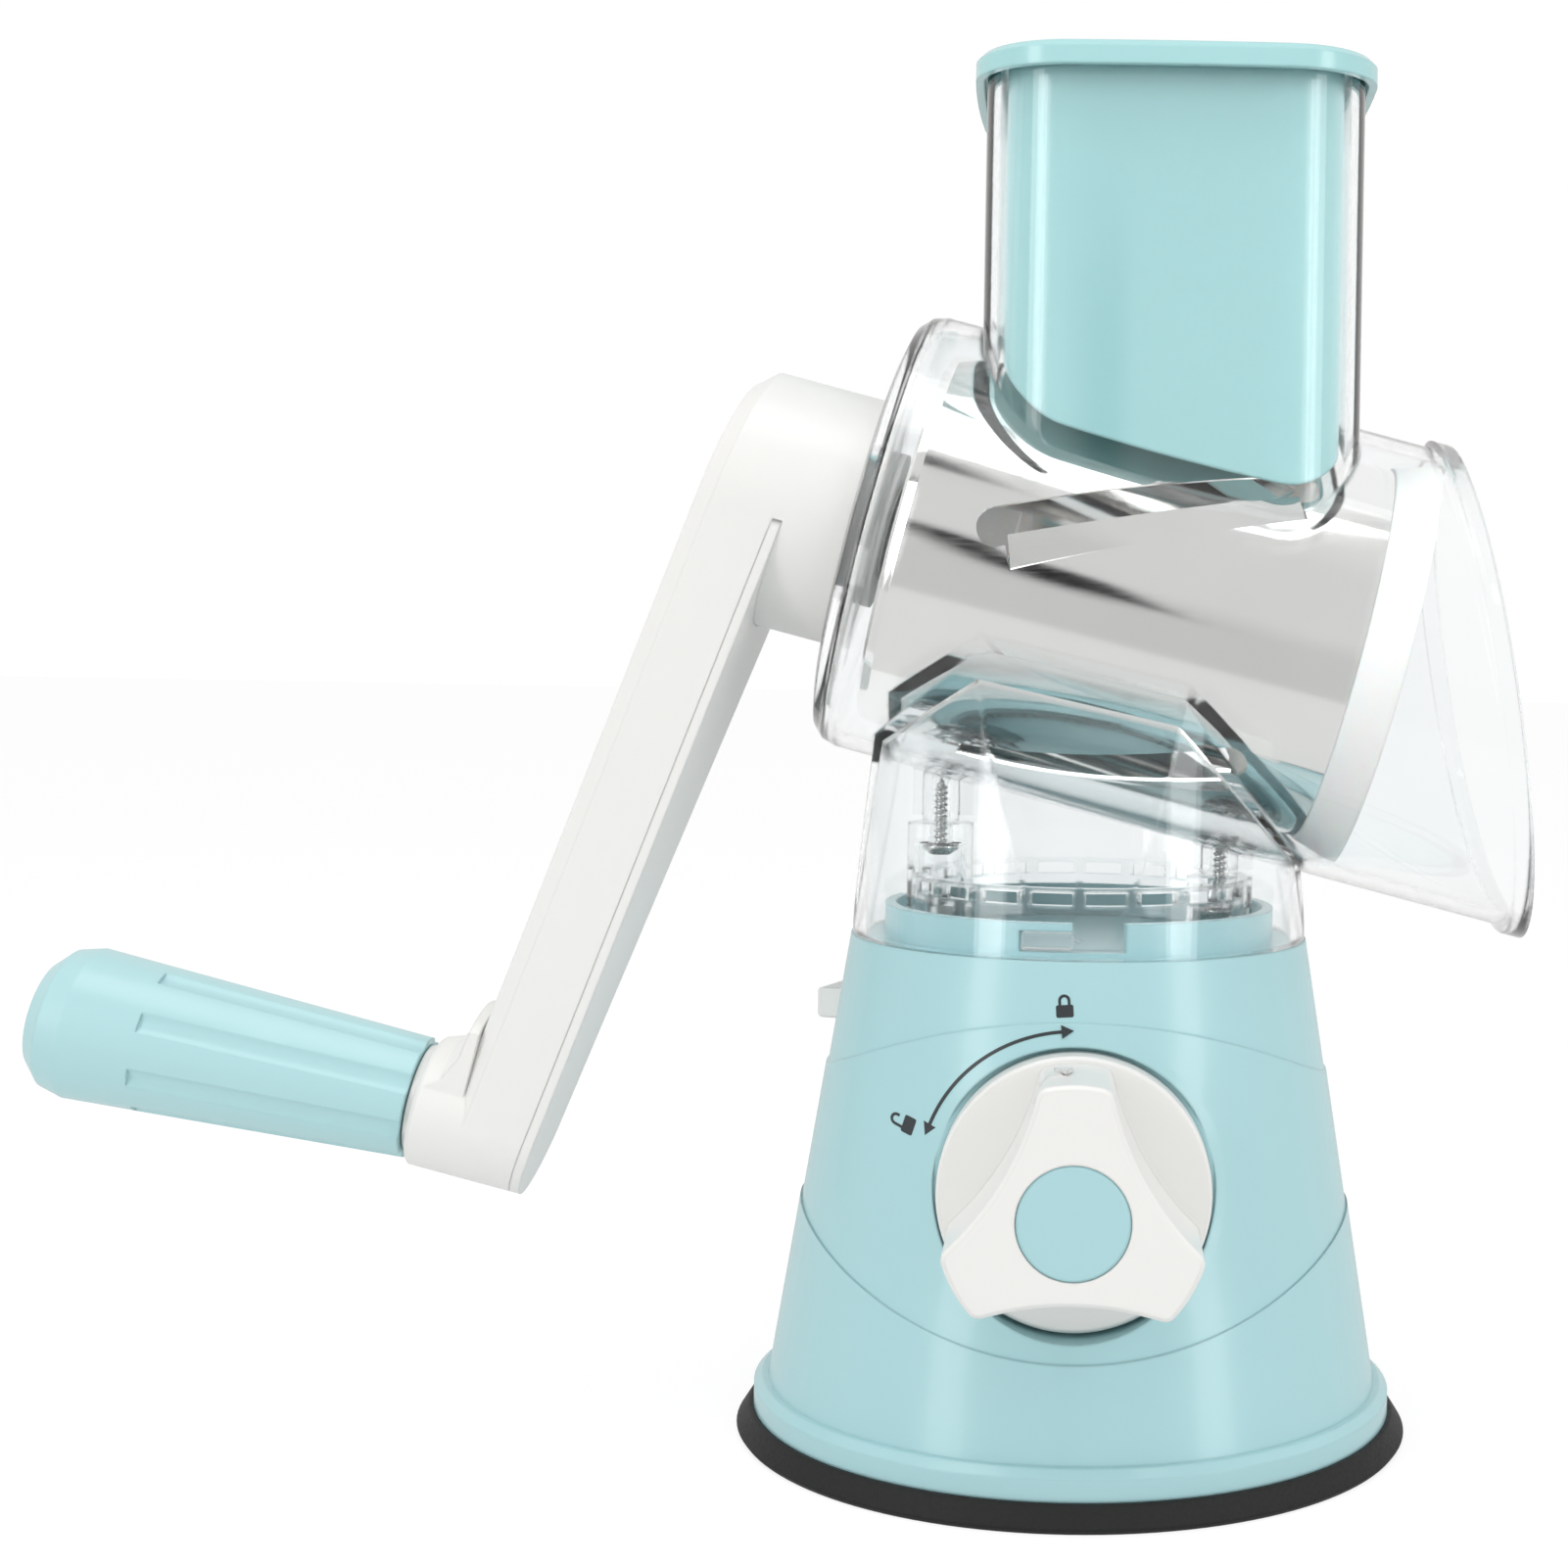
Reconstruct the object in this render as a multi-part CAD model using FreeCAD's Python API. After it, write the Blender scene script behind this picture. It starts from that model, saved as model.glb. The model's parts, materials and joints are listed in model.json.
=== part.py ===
import FreeCAD
import Part

import math
import os

Vec = FreeCAD.Vector

# Rotary vegetable grater: a suction base, a clear housing with a feed chute, a steel
# slicing drum driven by a crank, and a pusher. Millimetres, +Z up, +X towards the outlet
# mouth, -Y towards the lock knob. The origin is on the table under the base's axis.

# Clearances
running = 0.05          # radial, shaft in its bore
soft_gap = 0.3          # between curved faces of different pieces
slide_gap = 0.4         # each side of a piece that slides in a guide
seat_gap = 0.1          # at each end of a spring
end_gap = 0.2           # between flat ends that must not touch
press_fit = 0.01        # radial, pin or cam on its shaft
tight_fit = 0.02        # radial, shaft or spindle in the crank

# Suction pad
pad_radius = 65.0
pad_bevel_radius = 62.6
pad_height = 4.5
pad_edge = 0.8
pad_edge_bevel = 0.6
pad_seal_inner = 51.0
pad_seal_bevel = 1.5
pad_bead_inner = 50.5
pad_bead_outer = 55.2
pad_bead_height = 2.0
membrane_wall = 1.6
membrane_rim_rise = 1.0  # the membrane is thicker by this at the bead
membrane_flat_radius = 28.0
membrane_lift = 4.6     # height of the pad's centre when it is locked
pad_boss_radius = 12.0
pad_boss_height = 5.2

# Base shell
flange_radius = 61.8
flange_top_radius = 60.2
flange_height = 5.3
flange_bevel = 1.4
cone_low_radius = 58.2
cone_top_radius = 44.5
base_top = 95.1
shell_wall = 2.5
deck_thickness = 2.5
band_step = 0.4         # each line of the lens-shaped band steps out by this
band_arc_radius = 88.5
band_crest = 84.5       # top of the band at the front
band_valley = 26.4      # bottom of the band at the front
collar_inner = 35.9
collar_outer = 38.0
collar_height = 6.1     # above the base's top

# Lock knob
knob_height = 55.0
knob_disc_radius = 24.4
knob_disc_front = 51.5
knob_disc_depth = 7.0
knob_front = 73.0
knob_tip_radius = 23.2
knob_tip_width = 12.4
knob_waist = 14.0
knob_lobes = 3
knob_gap = 0.9
knob_recess_floor = 44.0
knob_cup_wall = 2.0
knob_cup_floor = 2.2
knob_edge_radius = 2.2
knob_front_bevel = 0.7
knob_disc_bevel = 0.6
knob_cap_bevel = 0.4
knob_socket_depth = 9.0 # from the knob's front to the end of the shaft's socket
knob_cap_radius = 9.8
knob_cap_depth = 2.4
knob_turn = 62.0        # degrees from locked to released
knob_screw_radius = 1.45
knob_screw_length = 14.6
knob_screw_head = 3.0
knob_screw_head_height = 2.0
knob_screw_seat = 5.4   # from the knob's front
knob_screw_recess = 3.4
knob_screw_hole = 1.7
knob_screw_pilot = 1.5
shaft_radius = 4.0
shaft_stand_out = 3.0   # past the middle of the bracket's rear ear

# Cam and pull stem
cam_high = 13.5
cam_lead = 10.0         # degrees that the cam's level face runs on past the locked end
cam_run_on = 20.0       # degrees that its fall runs on past the released end
cam_back = 40.0         # degrees from the level face to the low back of the cam
cam_points = 8
pin_play = 0.4
stem_travel = 4.5
cam_width = 9.2
cheek_wall = 2.5
cheek_above_pin = 2.5
fork_half_width = 11.0
fork_bridge_bottom = 38.0
fork_bridge_height = 4.0
cross_pin_radius = 2.0
stem_radius = 4.0
stem_foot_radius = 9.0
stem_foot_height = 1.6
stem_collar_radius = 7.0
stem_collar_height = 1.5
stem_spring_play = 0.8

# Base floor and cam bracket
floor_seat_radius = 55.4
floor_wall = 2.4
floor_cup_inner = 16.0
floor_cup_wall = 2.0
floor_cup_top = 26.0
floor_cup_ceiling = 4.0
floor_screw_circle = 44.0
floor_screw_count = 3
floor_screw_first = 90.0
floor_boss_radius = 4.2
floor_boss_height = 22.0
floor_boss_rib = 1.0    # half its thickness
floor_pilot_radius = 1.3
floor_pilot_depth = 14.0
floor_screw_hole = 1.8
floor_screw_radius = 1.25
floor_screw_length = 12.0
floor_screw_head = 2.9
floor_screw_head_height = 1.6
bracket_wall = 2.4
bracket_half_width = 12.0
bracket_half_depth = 17.0
bracket_ear_place = 13.2
bracket_ear_radius = 7.5
bracket_screw_place = 8.6
bracket_screw_hole = 1.3
bracket_screw_radius = 0.95
bracket_screw_length = 3.0
bracket_screw_head = 2.2
bracket_screw_head_height = 1.6
bracket_pilot_radius = 1.0
bracket_pilot_depth = 3.5

# Release button, on the base's back left
button_azimuth = 162.0
button_height = 79.0
button_reach = 53.4
button_width = 12.2
button_thickness = 6.0
button_edge_radius = 1.6
button_travel = 3.0
button_flange = 2.2
button_flange_edge = 1.6     # the flange stands out this far past the head's sides
button_flange_height = 9.0
button_flange_play = 0.6
button_rail_wall = 1.6
button_arm_width = 10.0
button_arm_thickness = 4.0
tongue_offset = -2.4     # across the button's line, clear of the screw tower
tongue_width = 5.0
tongue_depth = 2.3
tooth_height = 2.2
tooth_reach = 1.8
button_spring_radius = 2.4
button_spring_wall = 0.8
button_spring_length = 6.7

# Neck ring inside the clear neck
ring_outer = 33.0
ring_wall = 2.4
ring_height = 11.9       # above the base's top
ring_window_count = 20
ring_window_height = 2.3
ring_window_half = 3.9
ring_window_edge = 0.9
tower_keep_off = 20.0    # degrees each side of a tower that have no window
ring_rib_half = 0.65
ring_rib_depth = 1.6
ring_rib_low = 2.4       # above the base's top
ring_rib_high = 1.5      # above the ring's top
lug_count = 3
lug_first = 261.0
lug_width = 9.0
lug_height = 3.0
lug_lift = 1.2
tower_place = 27.5
tower_radius = 6.5
tower_bore = 4.3
left_tower_height = 21.3
left_tower_web = 4.0
right_tower_height = 11.7
right_tower_web = 6.0
neck_screw_length = 13.0
neck_screw_radius = 1.5
neck_screw_head = 3.6
neck_screw_head_height = 2.3
neck_screw_dome = 1.2
neck_screw_face = 2.1
neck_screw_point = 2.2
neck_screw_tip = 0.3
cross_half_length = 1.8
cross_half_width = 0.4
cross_floor = 1.0        # left of the head under the cross
screw_boss_radius = 3.6
screw_boss_cover = 0.8   # past the screw's tip
gusset_left = 5.5
gusset_right = 6.4
gusset_half = 0.8
gusset_lift = 1.5

# Drum axis: it falls towards the mouth
axis_height = 163.6
axis_tilt = 14.1

# Clear housing
clear_wall = 2.5
barrel_rear = -44.2
barrel_radius = 43.4
rear_wall = 3.0
rear_edge_radius = 5.5  # rounding of the closed end
barrel_corner_steps = 3 # short cones that make the rounding
mouth_reach = 80.6      # where the slanted mouth crosses the axis
mouth_slant = 23.2
rim_width = 3.2
rim_lip = 1.4
neck_half_x = 36.9      # the round neck turns into a rounded square on its way up
neck_half_y = 39.2
neck_square_height = 150.0
chute_centre = 15.6
chute_half_x = 35.9
chute_half_y = 38.0
chute_corner = 16.0
chute_bulge = 1.2
chute_top = 259.5

# Rear bearing bush
bush_outer = 13.0
bush_flange = 15.5
bush_flange_depth = 1.5
journal_radius = 9.0

# Slicing drum
drum_rear = -36.4
drum_length = 88.4
drum_radius = 37.2
drum_wall = 0.6
rolled_lip = 5.0
rear_corner = 2.4        # rounding where the skin turns into the rolled lip
slot_count = 4
slot_start = -18.2
slot_end = 34.5
slot_start_angle = 8.0
slot_end_angle = 47.0
slot_width = 7.0
blade_rise = 1.2
blade_land = 4.2
blade_overhang = 0.8     # how far the raised edge reaches over the slot
blade_end_gap = 1.7      # the blade stops this short of the slot's ends
blade_end_slit = 0.5     # cut at each end of the blade, so that it can bend up
blade_lap = 1.2          # the bent strip reaches this far back under the skin
outlet_ring_end = 60.3
outlet_ring_radius = 40.1
outlet_sleeve = 6.0
outlet_wall = 1.7
outlet_step = 0.5
outlet_lip = 1.2
outlet_lip_bevel = 0.9
outlet_flare_start = 3.0
hub_disc = 2.6
hub_rim_length = 7.0
hub_wall = 2.0
hub_boss_radius = 10.5
hub_boss_rear = -38.6
hub_boss_front = -15.6
hub_ribs = 6
hub_rib_half = 0.9
drive_square = 10.0
drive_clearance = 0.15

# Crank
crank_gap = 0.5
hub_radius = 24.6
hub_root = -63.0
shaft_screw_recess = 0.6
shaft_screw_radius = 1.45
shaft_screw_length = 15.0
shaft_screw_head = 3.5
shaft_screw_head_height = 2.2
shaft_pilot_radius = 1.5
shaft_pilot_depth = 16.0
arm_lean = 7.3
arm_plane = -57.0       # where the arm's inner face crosses the drum axis
arm_thickness = 17.4
arm_wall = 2.6
arm_face_wall = 3.6
arm_edge_bevel = 3.4
crank_rim_bevel = 0.7
cover_thickness = 2.0
foot_drop = 131.5
foot_radius = 12.8
foot_end = -98.6
foot_overlap = 6.0       # the foot boss runs this far into the arm
foot_flare = 9.0
flare_start = 0.9
flare_steps = 3
flare_root = 2.0
flare_inset = 1.5
shaft_socket_depth = 12.0
spindle_radius = 4.0
spindle_head_radius = 5.2
spindle_head_depth = 3.0
spindle_seat = 4.0
spindle_short = 16.0     # from its head to the grip's outer end

# Handle grip
grip_inner_end = -100.2
grip_lean = 2.5          # the handle's axis droops this much from the drum's
grip_length = 76.0
grip_inner_radius = 11.8
grip_outer_radius = 14.9
grip_dome = 9.0
grip_flutes = 8
grip_flute_length = 52.5
grip_flute_radius = 3.4
grip_flute_depth = 0.8
grip_collar_radius = 10.5
grip_collar_length = 1.3

# Pusher
pusher_gap = 1.4
pusher_wall = 2.2
pusher_follow_radius = 42.8
pusher_low = 10.0        # the cup starts this far above the drum's axis
rim_above_chute = 2.0
rim_height = 4.5
rim_skirt_wall = 1.6
rim_skirt_gap = 0.6
rim_bevel = 1.2

# Worked out from the sizes above
past_all = 2 * chute_top     # a cutting shape this long runs right through the part
cone_low = pad_height + flange_height
cone_slope = (cone_low_radius - cone_top_radius) / (base_top - cone_low)
cam_rate = stem_travel / knob_turn
cam_low = cam_high - cam_rate * (knob_turn + cam_run_on)
pin_height = knob_height + cam_high + cross_pin_radius + pin_play
floor_bottom = pad_height + pad_bead_height
collar_top = base_top + collar_height
ring_inner = ring_outer - ring_wall
ring_top = base_top + ring_height
left_tower_top = base_top + left_tower_height
right_tower_top = base_top + right_tower_height
tongue_far_side = abs(tongue_offset) + tongue_width / 2
tongue_outer = math.sqrt(ring_inner ** 2 - tongue_far_side ** 2) - soft_gap
tongue_inner = tongue_outer - tongue_depth
button_spring_seat = tongue_inner - button_spring_length - 2 * seat_gap
button_wall_radius = cone_top_radius + cone_slope * (base_top - button_height)
button_flange_inner = button_wall_radius - shell_wall - button_flange_play - button_flange
slot_half_turn = math.radians(slot_end_angle - slot_start_angle) / 2
slot_rise = drum_radius * math.sin(slot_half_turn)
slot_half_length = math.hypot((slot_end - slot_start) / 2, slot_rise)
slot_skew = math.degrees(math.atan2(slot_rise, (slot_end - slot_start) / 2))
blade_half_length = slot_half_length - blade_end_gap
blade_bend = math.degrees(math.asin(blade_rise / (blade_land + blade_overhang)))
punch_reach = (0.75 * drum_radius, 1.25 * drum_radius)
foot_plane = arm_plane - foot_drop * math.tan(math.radians(arm_lean))
spindle_end = grip_inner_end - grip_length + spindle_short
rim_top = chute_top + rim_above_chute
rim_bottom = rim_top - rim_height


def cylinder_x(radius, low, high, y=0.0, z=0.0):
    return Part.makeCylinder(radius, high - low, Vec(low, y, z), Vec(1, 0, 0))


def cylinder_y(radius, low, high, x=0.0, z=0.0):
    return Part.makeCylinder(radius, high - low, Vec(x, low, z), Vec(0, 1, 0))


def cylinder_z(radius, low, high, x=0.0, y=0.0):
    return Part.makeCylinder(radius, high - low, Vec(x, y, low), Vec(0, 0, 1))


def block(x, y, z):
    # Box from three (low, high) pairs
    return Part.makeBox(x[1] - x[0], y[1] - y[0], z[1] - z[0], Vec(x[0], y[0], z[0]))


def turned_z(profile):
    # Solid of revolution about Z from (radius, height) points
    corners = [Vec(r, 0, z) for r, z in profile]
    face = Part.Face(Part.makePolygon(corners + corners[:1]))
    return face.revolve(Vec(0, 0, 0), Vec(0, 0, 1), 360)


def turned_x(profile):
    # Solid of revolution about X from (station, radius) points
    corners = [Vec(u, 0, r) for u, r in profile]
    face = Part.Face(Part.makePolygon(corners + corners[:1]))
    return face.revolve(Vec(0, 0, 0), Vec(1, 0, 0), 360)


def turned_about_z(shape, angle):
    copy = shape.copy()
    copy.rotate(Vec(0, 0, 0), Vec(0, 0, 1), angle)
    return copy


def on_grip_axis(shape):
    # Handle pieces are drawn about X, then moved to the foot of the crank and leaned
    copy = shape.copy()
    copy.rotate(Vec(foot_end, 0, 0), Vec(0, 1, 0), -grip_lean)
    copy.translate(Vec(0, 0, -foot_drop))
    return on_drum_axis(copy)


def on_drum_axis(shape):
    # Shapes of the drum, crank and barrel are drawn with X along the drum axis
    copy = shape.copy()
    copy.rotate(Vec(0, 0, 0), Vec(0, 1, 0), axis_tilt)
    copy.translate(Vec(0, 0, axis_height))
    return copy


def cone_radius(height):
    return cone_low_radius - cone_slope * (height - cone_low)


def rounded_corner(end, outside, radius, steps):
    # Points of a quarter round between a flat end and a tube, for a turned profile;
    # the end looks towards low stations
    points = []
    for index in range(steps + 1):
        angle = math.radians(90 * index / steps)
        station = end + radius * (1 - math.sin(angle))
        points.append((station, outside - radius * (1 - math.cos(angle))))
    return points[::-1]


# Suction pad and base


def suction_pad():
    # One rubber moulding: bevelled seal ring, bead, raised membrane, and a boss that
    # grips the stem's foot
    boss_top = membrane_lift + pad_boss_height
    profile = [
        (pad_radius - pad_edge_bevel, 0),
        (pad_radius, pad_edge),
        (pad_bevel_radius, pad_height),
        (pad_bead_outer, pad_height),
        (pad_bead_outer, pad_height + pad_bead_height),
        (pad_bead_inner, pad_height + pad_bead_height),
        (pad_bead_inner, pad_edge + membrane_wall + membrane_rim_rise),
        (membrane_flat_radius, membrane_lift + membrane_wall),
        (pad_boss_radius, membrane_lift + membrane_wall),
        (pad_boss_radius, boss_top),
        (0, boss_top),
        (0, membrane_lift),
        (membrane_flat_radius, membrane_lift),
        (pad_seal_inner - pad_seal_bevel, pad_edge),
        (pad_seal_inner, 0),
    ]
    pad = turned_z(profile)
    foot = membrane_lift + membrane_wall
    cavity = cylinder_z(stem_foot_radius + running, foot - running, foot + stem_foot_height + running)
    neck = cylinder_z(stem_radius + running, foot, boss_top + 1)
    return pad.cut(cavity).cut(neck)


def region_below_arc(middle_height, rises):
    # Slab, front to back, under an arc that crests or dips in the middle
    reach = 0.9 * band_arc_radius
    drop = band_arc_radius - math.sqrt(band_arc_radius ** 2 - reach ** 2)
    ends = middle_height + drop if rises else middle_height - drop
    left = Vec(-reach, -past_all, ends)
    right = Vec(reach, -past_all, ends)
    arc = Part.Arc(right, Vec(0, -past_all, middle_height), left).toShape()
    low_left = Vec(-reach, -past_all, 0)
    low_right = Vec(reach, -past_all, 0)
    edges = [
        Part.LineSegment(left, low_left).toShape(),
        Part.LineSegment(low_left, low_right).toShape(),
        Part.LineSegment(low_right, right).toShape(),
        arc,
    ]
    return Part.Face(Part.Wire(edges)).extrude(Vec(0, 2 * past_all, 0))


def stepped_cone(step):
    return turned_z([
        (0, cone_low),
        (cone_low_radius + step, cone_low),
        (cone_top_radius + step, base_top),
        (0, base_top),
    ])


def base_outside():
    flange_top = pad_height + flange_height
    flange = turned_z([
        (0, pad_height),
        (flange_radius, pad_height),
        (flange_radius, flange_top - flange_bevel),
        (flange_top_radius, flange_top),
        (0, flange_top),
    ])
    middle = stepped_cone(band_step).common(region_below_arc(band_crest, False))
    lower = stepped_cone(2 * band_step).common(region_below_arc(band_valley, True))
    return stepped_cone(0).fuse([middle, lower, flange])


def floor_bosses():
    # Posts that take the floor screws, each tied to the wall by a rib
    bosses = []
    low = floor_bottom + floor_wall
    for index in range(floor_screw_count):
        post = cylinder_z(floor_boss_radius, low, low + floor_boss_height, floor_screw_circle)
        rib = block(
            (floor_screw_circle, cone_low_radius),
            (-floor_boss_rib, floor_boss_rib),
            (low, low + floor_boss_height),
        )
        hole = cylinder_z(floor_pilot_radius, low - 1, low + floor_pilot_depth, floor_screw_circle)
        boss = post.fuse(rib).cut(hole)
        bosses.append(turned_about_z(boss, floor_screw_first + 360 / floor_screw_count * index))
    return bosses


def button_rails():
    # Two hanging ribs and a cross wall guide the button and back its spring
    inner = button_arm_width / 2 + slide_gap
    outer = inner + button_rail_wall
    seat = button_spring_seat - button_rail_wall
    height = (button_height - button_flange_height / 2, base_top - 1)
    end = button_flange_inner - button_travel - 2 * slide_gap
    rails = []
    for side in (-1, 1):
        across = sorted((side * inner, side * outer))
        rails.append(block((seat, end), across, height))
    rails.append(block((seat, button_spring_seat), (-outer, outer), height))
    return [turned_about_z(rail, button_azimuth) for rail in rails]


def bayonet_slots():
    # Entry slots open upwards; the run beside each one holds the ring's lug
    slots = []
    low = base_top + lug_lift - slide_gap
    high = low + lug_height + 2 * slide_gap
    half_lug = math.degrees((lug_width / 2 + slide_gap) / collar_outer)
    ring = turned_z([
        (collar_inner - 1, low),
        (collar_outer + 1, low),
        (collar_outer + 1, high),
        (collar_inner - 1, high),
    ])
    entry_ring = turned_z([
        (collar_inner - 1, low),
        (collar_outer + 1, low),
        (collar_outer + 1, collar_top + 1),
        (collar_inner - 1, collar_top + 1),
    ])
    for index in range(lug_count):
        middle = lug_first + 360 / lug_count * index
        slots.append(ring.common(sector(middle - half_lug, middle + 3 * half_lug)))
        slots.append(entry_ring.common(sector(middle + half_lug, middle + 3 * half_lug)))
    return slots


def sector(start, end):
    # Wedge of space about Z between two azimuths under 180 degrees apart
    first = math.radians(start)
    last = math.radians(end)
    corners = [
        Vec(0, 0, 0),
        Vec(past_all * math.cos(first), past_all * math.sin(first), 0),
        Vec(past_all * math.cos(last), past_all * math.sin(last), 0),
    ]
    return Part.Face(Part.makePolygon(corners + corners[:1])).extrude(Vec(0, 0, past_all))


def base_shell():
    outside = base_outside()
    deck_bottom = base_top - deck_thickness
    low_radius = cone_radius(cone_low) - shell_wall
    hollow = turned_z([
        (0, 0),
        (low_radius, 0),
        (low_radius, cone_low),
        (cone_radius(deck_bottom) - shell_wall, deck_bottom),
        (0, deck_bottom),
    ])
    recess_radius = knob_disc_radius + knob_gap
    cup_floor = knob_cup_floor - knob_recess_floor
    cup = cylinder_y(recess_radius + knob_cup_wall, -past_all, cup_floor, 0, knob_height)
    recess = cylinder_y(recess_radius, -past_all, -knob_recess_floor, 0, knob_height)
    shaft_hole = cylinder_y(shaft_radius + running, -past_all, cup_floor + 1, 0, knob_height)
    inside_parts = [cup] + floor_bosses() + button_rails()
    shell = outside.cut(hollow)
    for piece in inside_parts:
        shell = shell.fuse(piece.common(outside))
    collar = cylinder_z(collar_outer, deck_bottom, collar_top)
    collar = collar.cut(cylinder_z(collar_inner, deck_bottom, collar_top + 1))
    for slot in bayonet_slots():
        collar = collar.cut(slot)
    half_width = button_width / 2 + slide_gap
    half_height = button_thickness / 2 + slide_gap
    button_slot = block(
        (button_flange_inner, past_all),
        (-half_width, half_width),
        (button_height - half_height, button_height + half_height),
    )
    tongue_slot = block(
        (tongue_inner - button_travel - slide_gap, tongue_outer + slide_gap),
        (tongue_offset - tongue_width / 2 - slide_gap, tongue_offset + tongue_width / 2 + slide_gap),
        (deck_bottom - 1, base_top + 1),
    )
    shell = shell.fuse(collar).cut(recess).cut(shaft_hole)
    shell = shell.cut(turned_about_z(button_slot, button_azimuth))
    return shell.cut(turned_about_z(tongue_slot, button_azimuth))


def base_floor():
    # Dish that clamps the pad's bead; its cup guides the stem and houses the spring
    outer_cup = floor_cup_inner + floor_cup_wall
    dish = turned_z([
        (floor_cup_inner, floor_bottom),
        (floor_seat_radius, floor_bottom),
        (floor_seat_radius, floor_bottom + floor_wall),
        (outer_cup, floor_bottom + floor_wall),
        (outer_cup, floor_cup_top),
        (0, floor_cup_top),
        (0, floor_cup_top - floor_cup_ceiling),
        (floor_cup_inner, floor_cup_top - floor_cup_ceiling),
    ])
    dish = dish.cut(cylinder_z(stem_radius + running, 0, floor_cup_top + 1))
    for index in range(floor_screw_count):
        hole = cylinder_z(floor_screw_hole, 0, floor_cup_top, floor_screw_circle)
        dish = dish.cut(turned_about_z(hole, floor_screw_first + 360 / floor_screw_count * index))
    for side in (-1, 1):
        pilot_floor = floor_cup_top - bracket_pilot_depth
        place = side * bracket_screw_place
        dish = dish.cut(cylinder_z(bracket_pilot_radius, pilot_floor, floor_cup_top + 1, place))
    return dish


def floor_screws():
    screws = []
    for index in range(floor_screw_count):
        low = floor_bottom - floor_screw_head_height
        high = floor_bottom + floor_screw_length
        head = cylinder_z(floor_screw_head, low, floor_bottom, floor_screw_circle)
        shank = cylinder_z(floor_screw_radius, floor_bottom, high, floor_screw_circle)
        screw = head.fuse(shank)
        screws.append(turned_about_z(screw, floor_screw_first + 360 / floor_screw_count * index))
    return Part.makeCompound(screws)


# Lock knob, cam and pull stem


def cam_bracket():
    # Channel on the floor's cup; its ears carry the cam shaft
    top = floor_cup_top + bracket_wall
    plate = block(
        (-bracket_half_width, bracket_half_width),
        (-bracket_half_depth, bracket_half_depth),
        (floor_cup_top, top),
    )
    bracket = plate
    for side in (-1, 1):
        low_y = side * bracket_ear_place - bracket_wall / 2
        corners = [
            Vec(-bracket_half_width, low_y, floor_cup_top),
            Vec(bracket_half_width, low_y, floor_cup_top),
            Vec(bracket_ear_radius, low_y, knob_height),
            Vec(-bracket_ear_radius, low_y, knob_height),
        ]
        web = Part.Face(Part.makePolygon(corners + corners[:1])).extrude(Vec(0, bracket_wall, 0))
        eye = cylinder_y(bracket_ear_radius, low_y, low_y + bracket_wall, 0, knob_height)
        bracket = bracket.fuse([web, eye])
    bracket = bracket.cut(cylinder_y(shaft_radius + running, -past_all, past_all, 0, knob_height))
    bracket = bracket.cut(cylinder_z(stem_radius + slide_gap, 0, top + 1))
    for side in (-1, 1):
        bracket = bracket.cut(cylinder_z(bracket_screw_hole, 0, top + 1, side * bracket_screw_place))
    return bracket.removeSplitter()


def bracket_screws():
    top = floor_cup_top + bracket_wall
    screws = []
    for side in (-1, 1):
        place = side * bracket_screw_place
        head = cylinder_z(bracket_screw_head, top, top + bracket_screw_head_height, place)
        shank = cylinder_z(bracket_screw_radius, floor_cup_top - bracket_screw_length, top, place)
        screws.append(head.fuse(shank))
    return Part.makeCompound(screws)


def knob_outline():
    # Three-lobed outline about the origin in the XZ plane, lobes at 90, 210 and 330 degrees
    edges = []
    step = 2 * math.pi / knob_lobes
    half_tip = math.asin(knob_tip_width / 2 / knob_tip_radius)
    for index in range(knob_lobes):
        middle = math.pi / 2 + step * index
        corners = [polar(knob_tip_radius, middle + turn) for turn in (-half_tip, 0, half_tip)]
        edges.append(Part.Arc(*corners).toShape())
        next_tip = polar(knob_tip_radius, middle + step - half_tip)
        waist = polar(knob_waist, middle + step / 2)
        edges.append(Part.Arc(corners[2], waist, next_tip).toShape())
    return Part.Wire(edges)


def polar(radius, angle):
    return Vec(radius * math.cos(angle), 0, radius * math.sin(angle))


def knob_body():
    star = Part.Face(knob_outline()).extrude(Vec(0, knob_disc_front - knob_front - 1, 0))
    star.translate(Vec(0, 1 - knob_disc_front, 0))
    star = star.makeFillet(knob_edge_radius, [edge for edge in star.Edges if is_along_y(edge)])
    front_edges = [edge for edge in star.Edges if edge.BoundBox.YMax < 0.1 - knob_front]
    star = star.makeChamfer(knob_front_bevel, front_edges)
    disc = cylinder_y(knob_disc_radius, -knob_disc_front, knob_disc_depth - knob_disc_front)
    disc_edge = [edge for edge in disc.Edges if edge.BoundBox.YMax < 0.1 - knob_disc_front]
    disc = disc.makeChamfer(knob_disc_bevel, disc_edge)
    knob = star.fuse(disc)
    knob = knob.cut(cylinder_y(knob_cap_radius + running, -knob_front - 1, knob_cap_depth - knob_front))
    knob = knob.cut(cylinder_y(shaft_radius + running, knob_socket_depth - knob_front, 0))
    knob = knob.cut(cylinder_y(knob_screw_hole, -knob_front - 1, 0))
    knob = knob.cut(cylinder_y(knob_screw_recess, -knob_front - 1, knob_screw_seat - knob_front))
    knob.translate(Vec(0, 0, knob_height))
    return knob


def is_along_y(edge):
    box = edge.BoundBox
    return box.XLength < 0.01 and box.ZLength < 0.01


def knob_cap():
    cap = cylinder_y(knob_cap_radius, -knob_front, knob_cap_depth - knob_front - soft_gap, 0, knob_height)
    front_edge = [edge for edge in cap.Edges if edge.BoundBox.YMax < 0.1 - knob_front]
    return cap.makeChamfer(knob_cap_bevel, front_edge)


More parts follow.
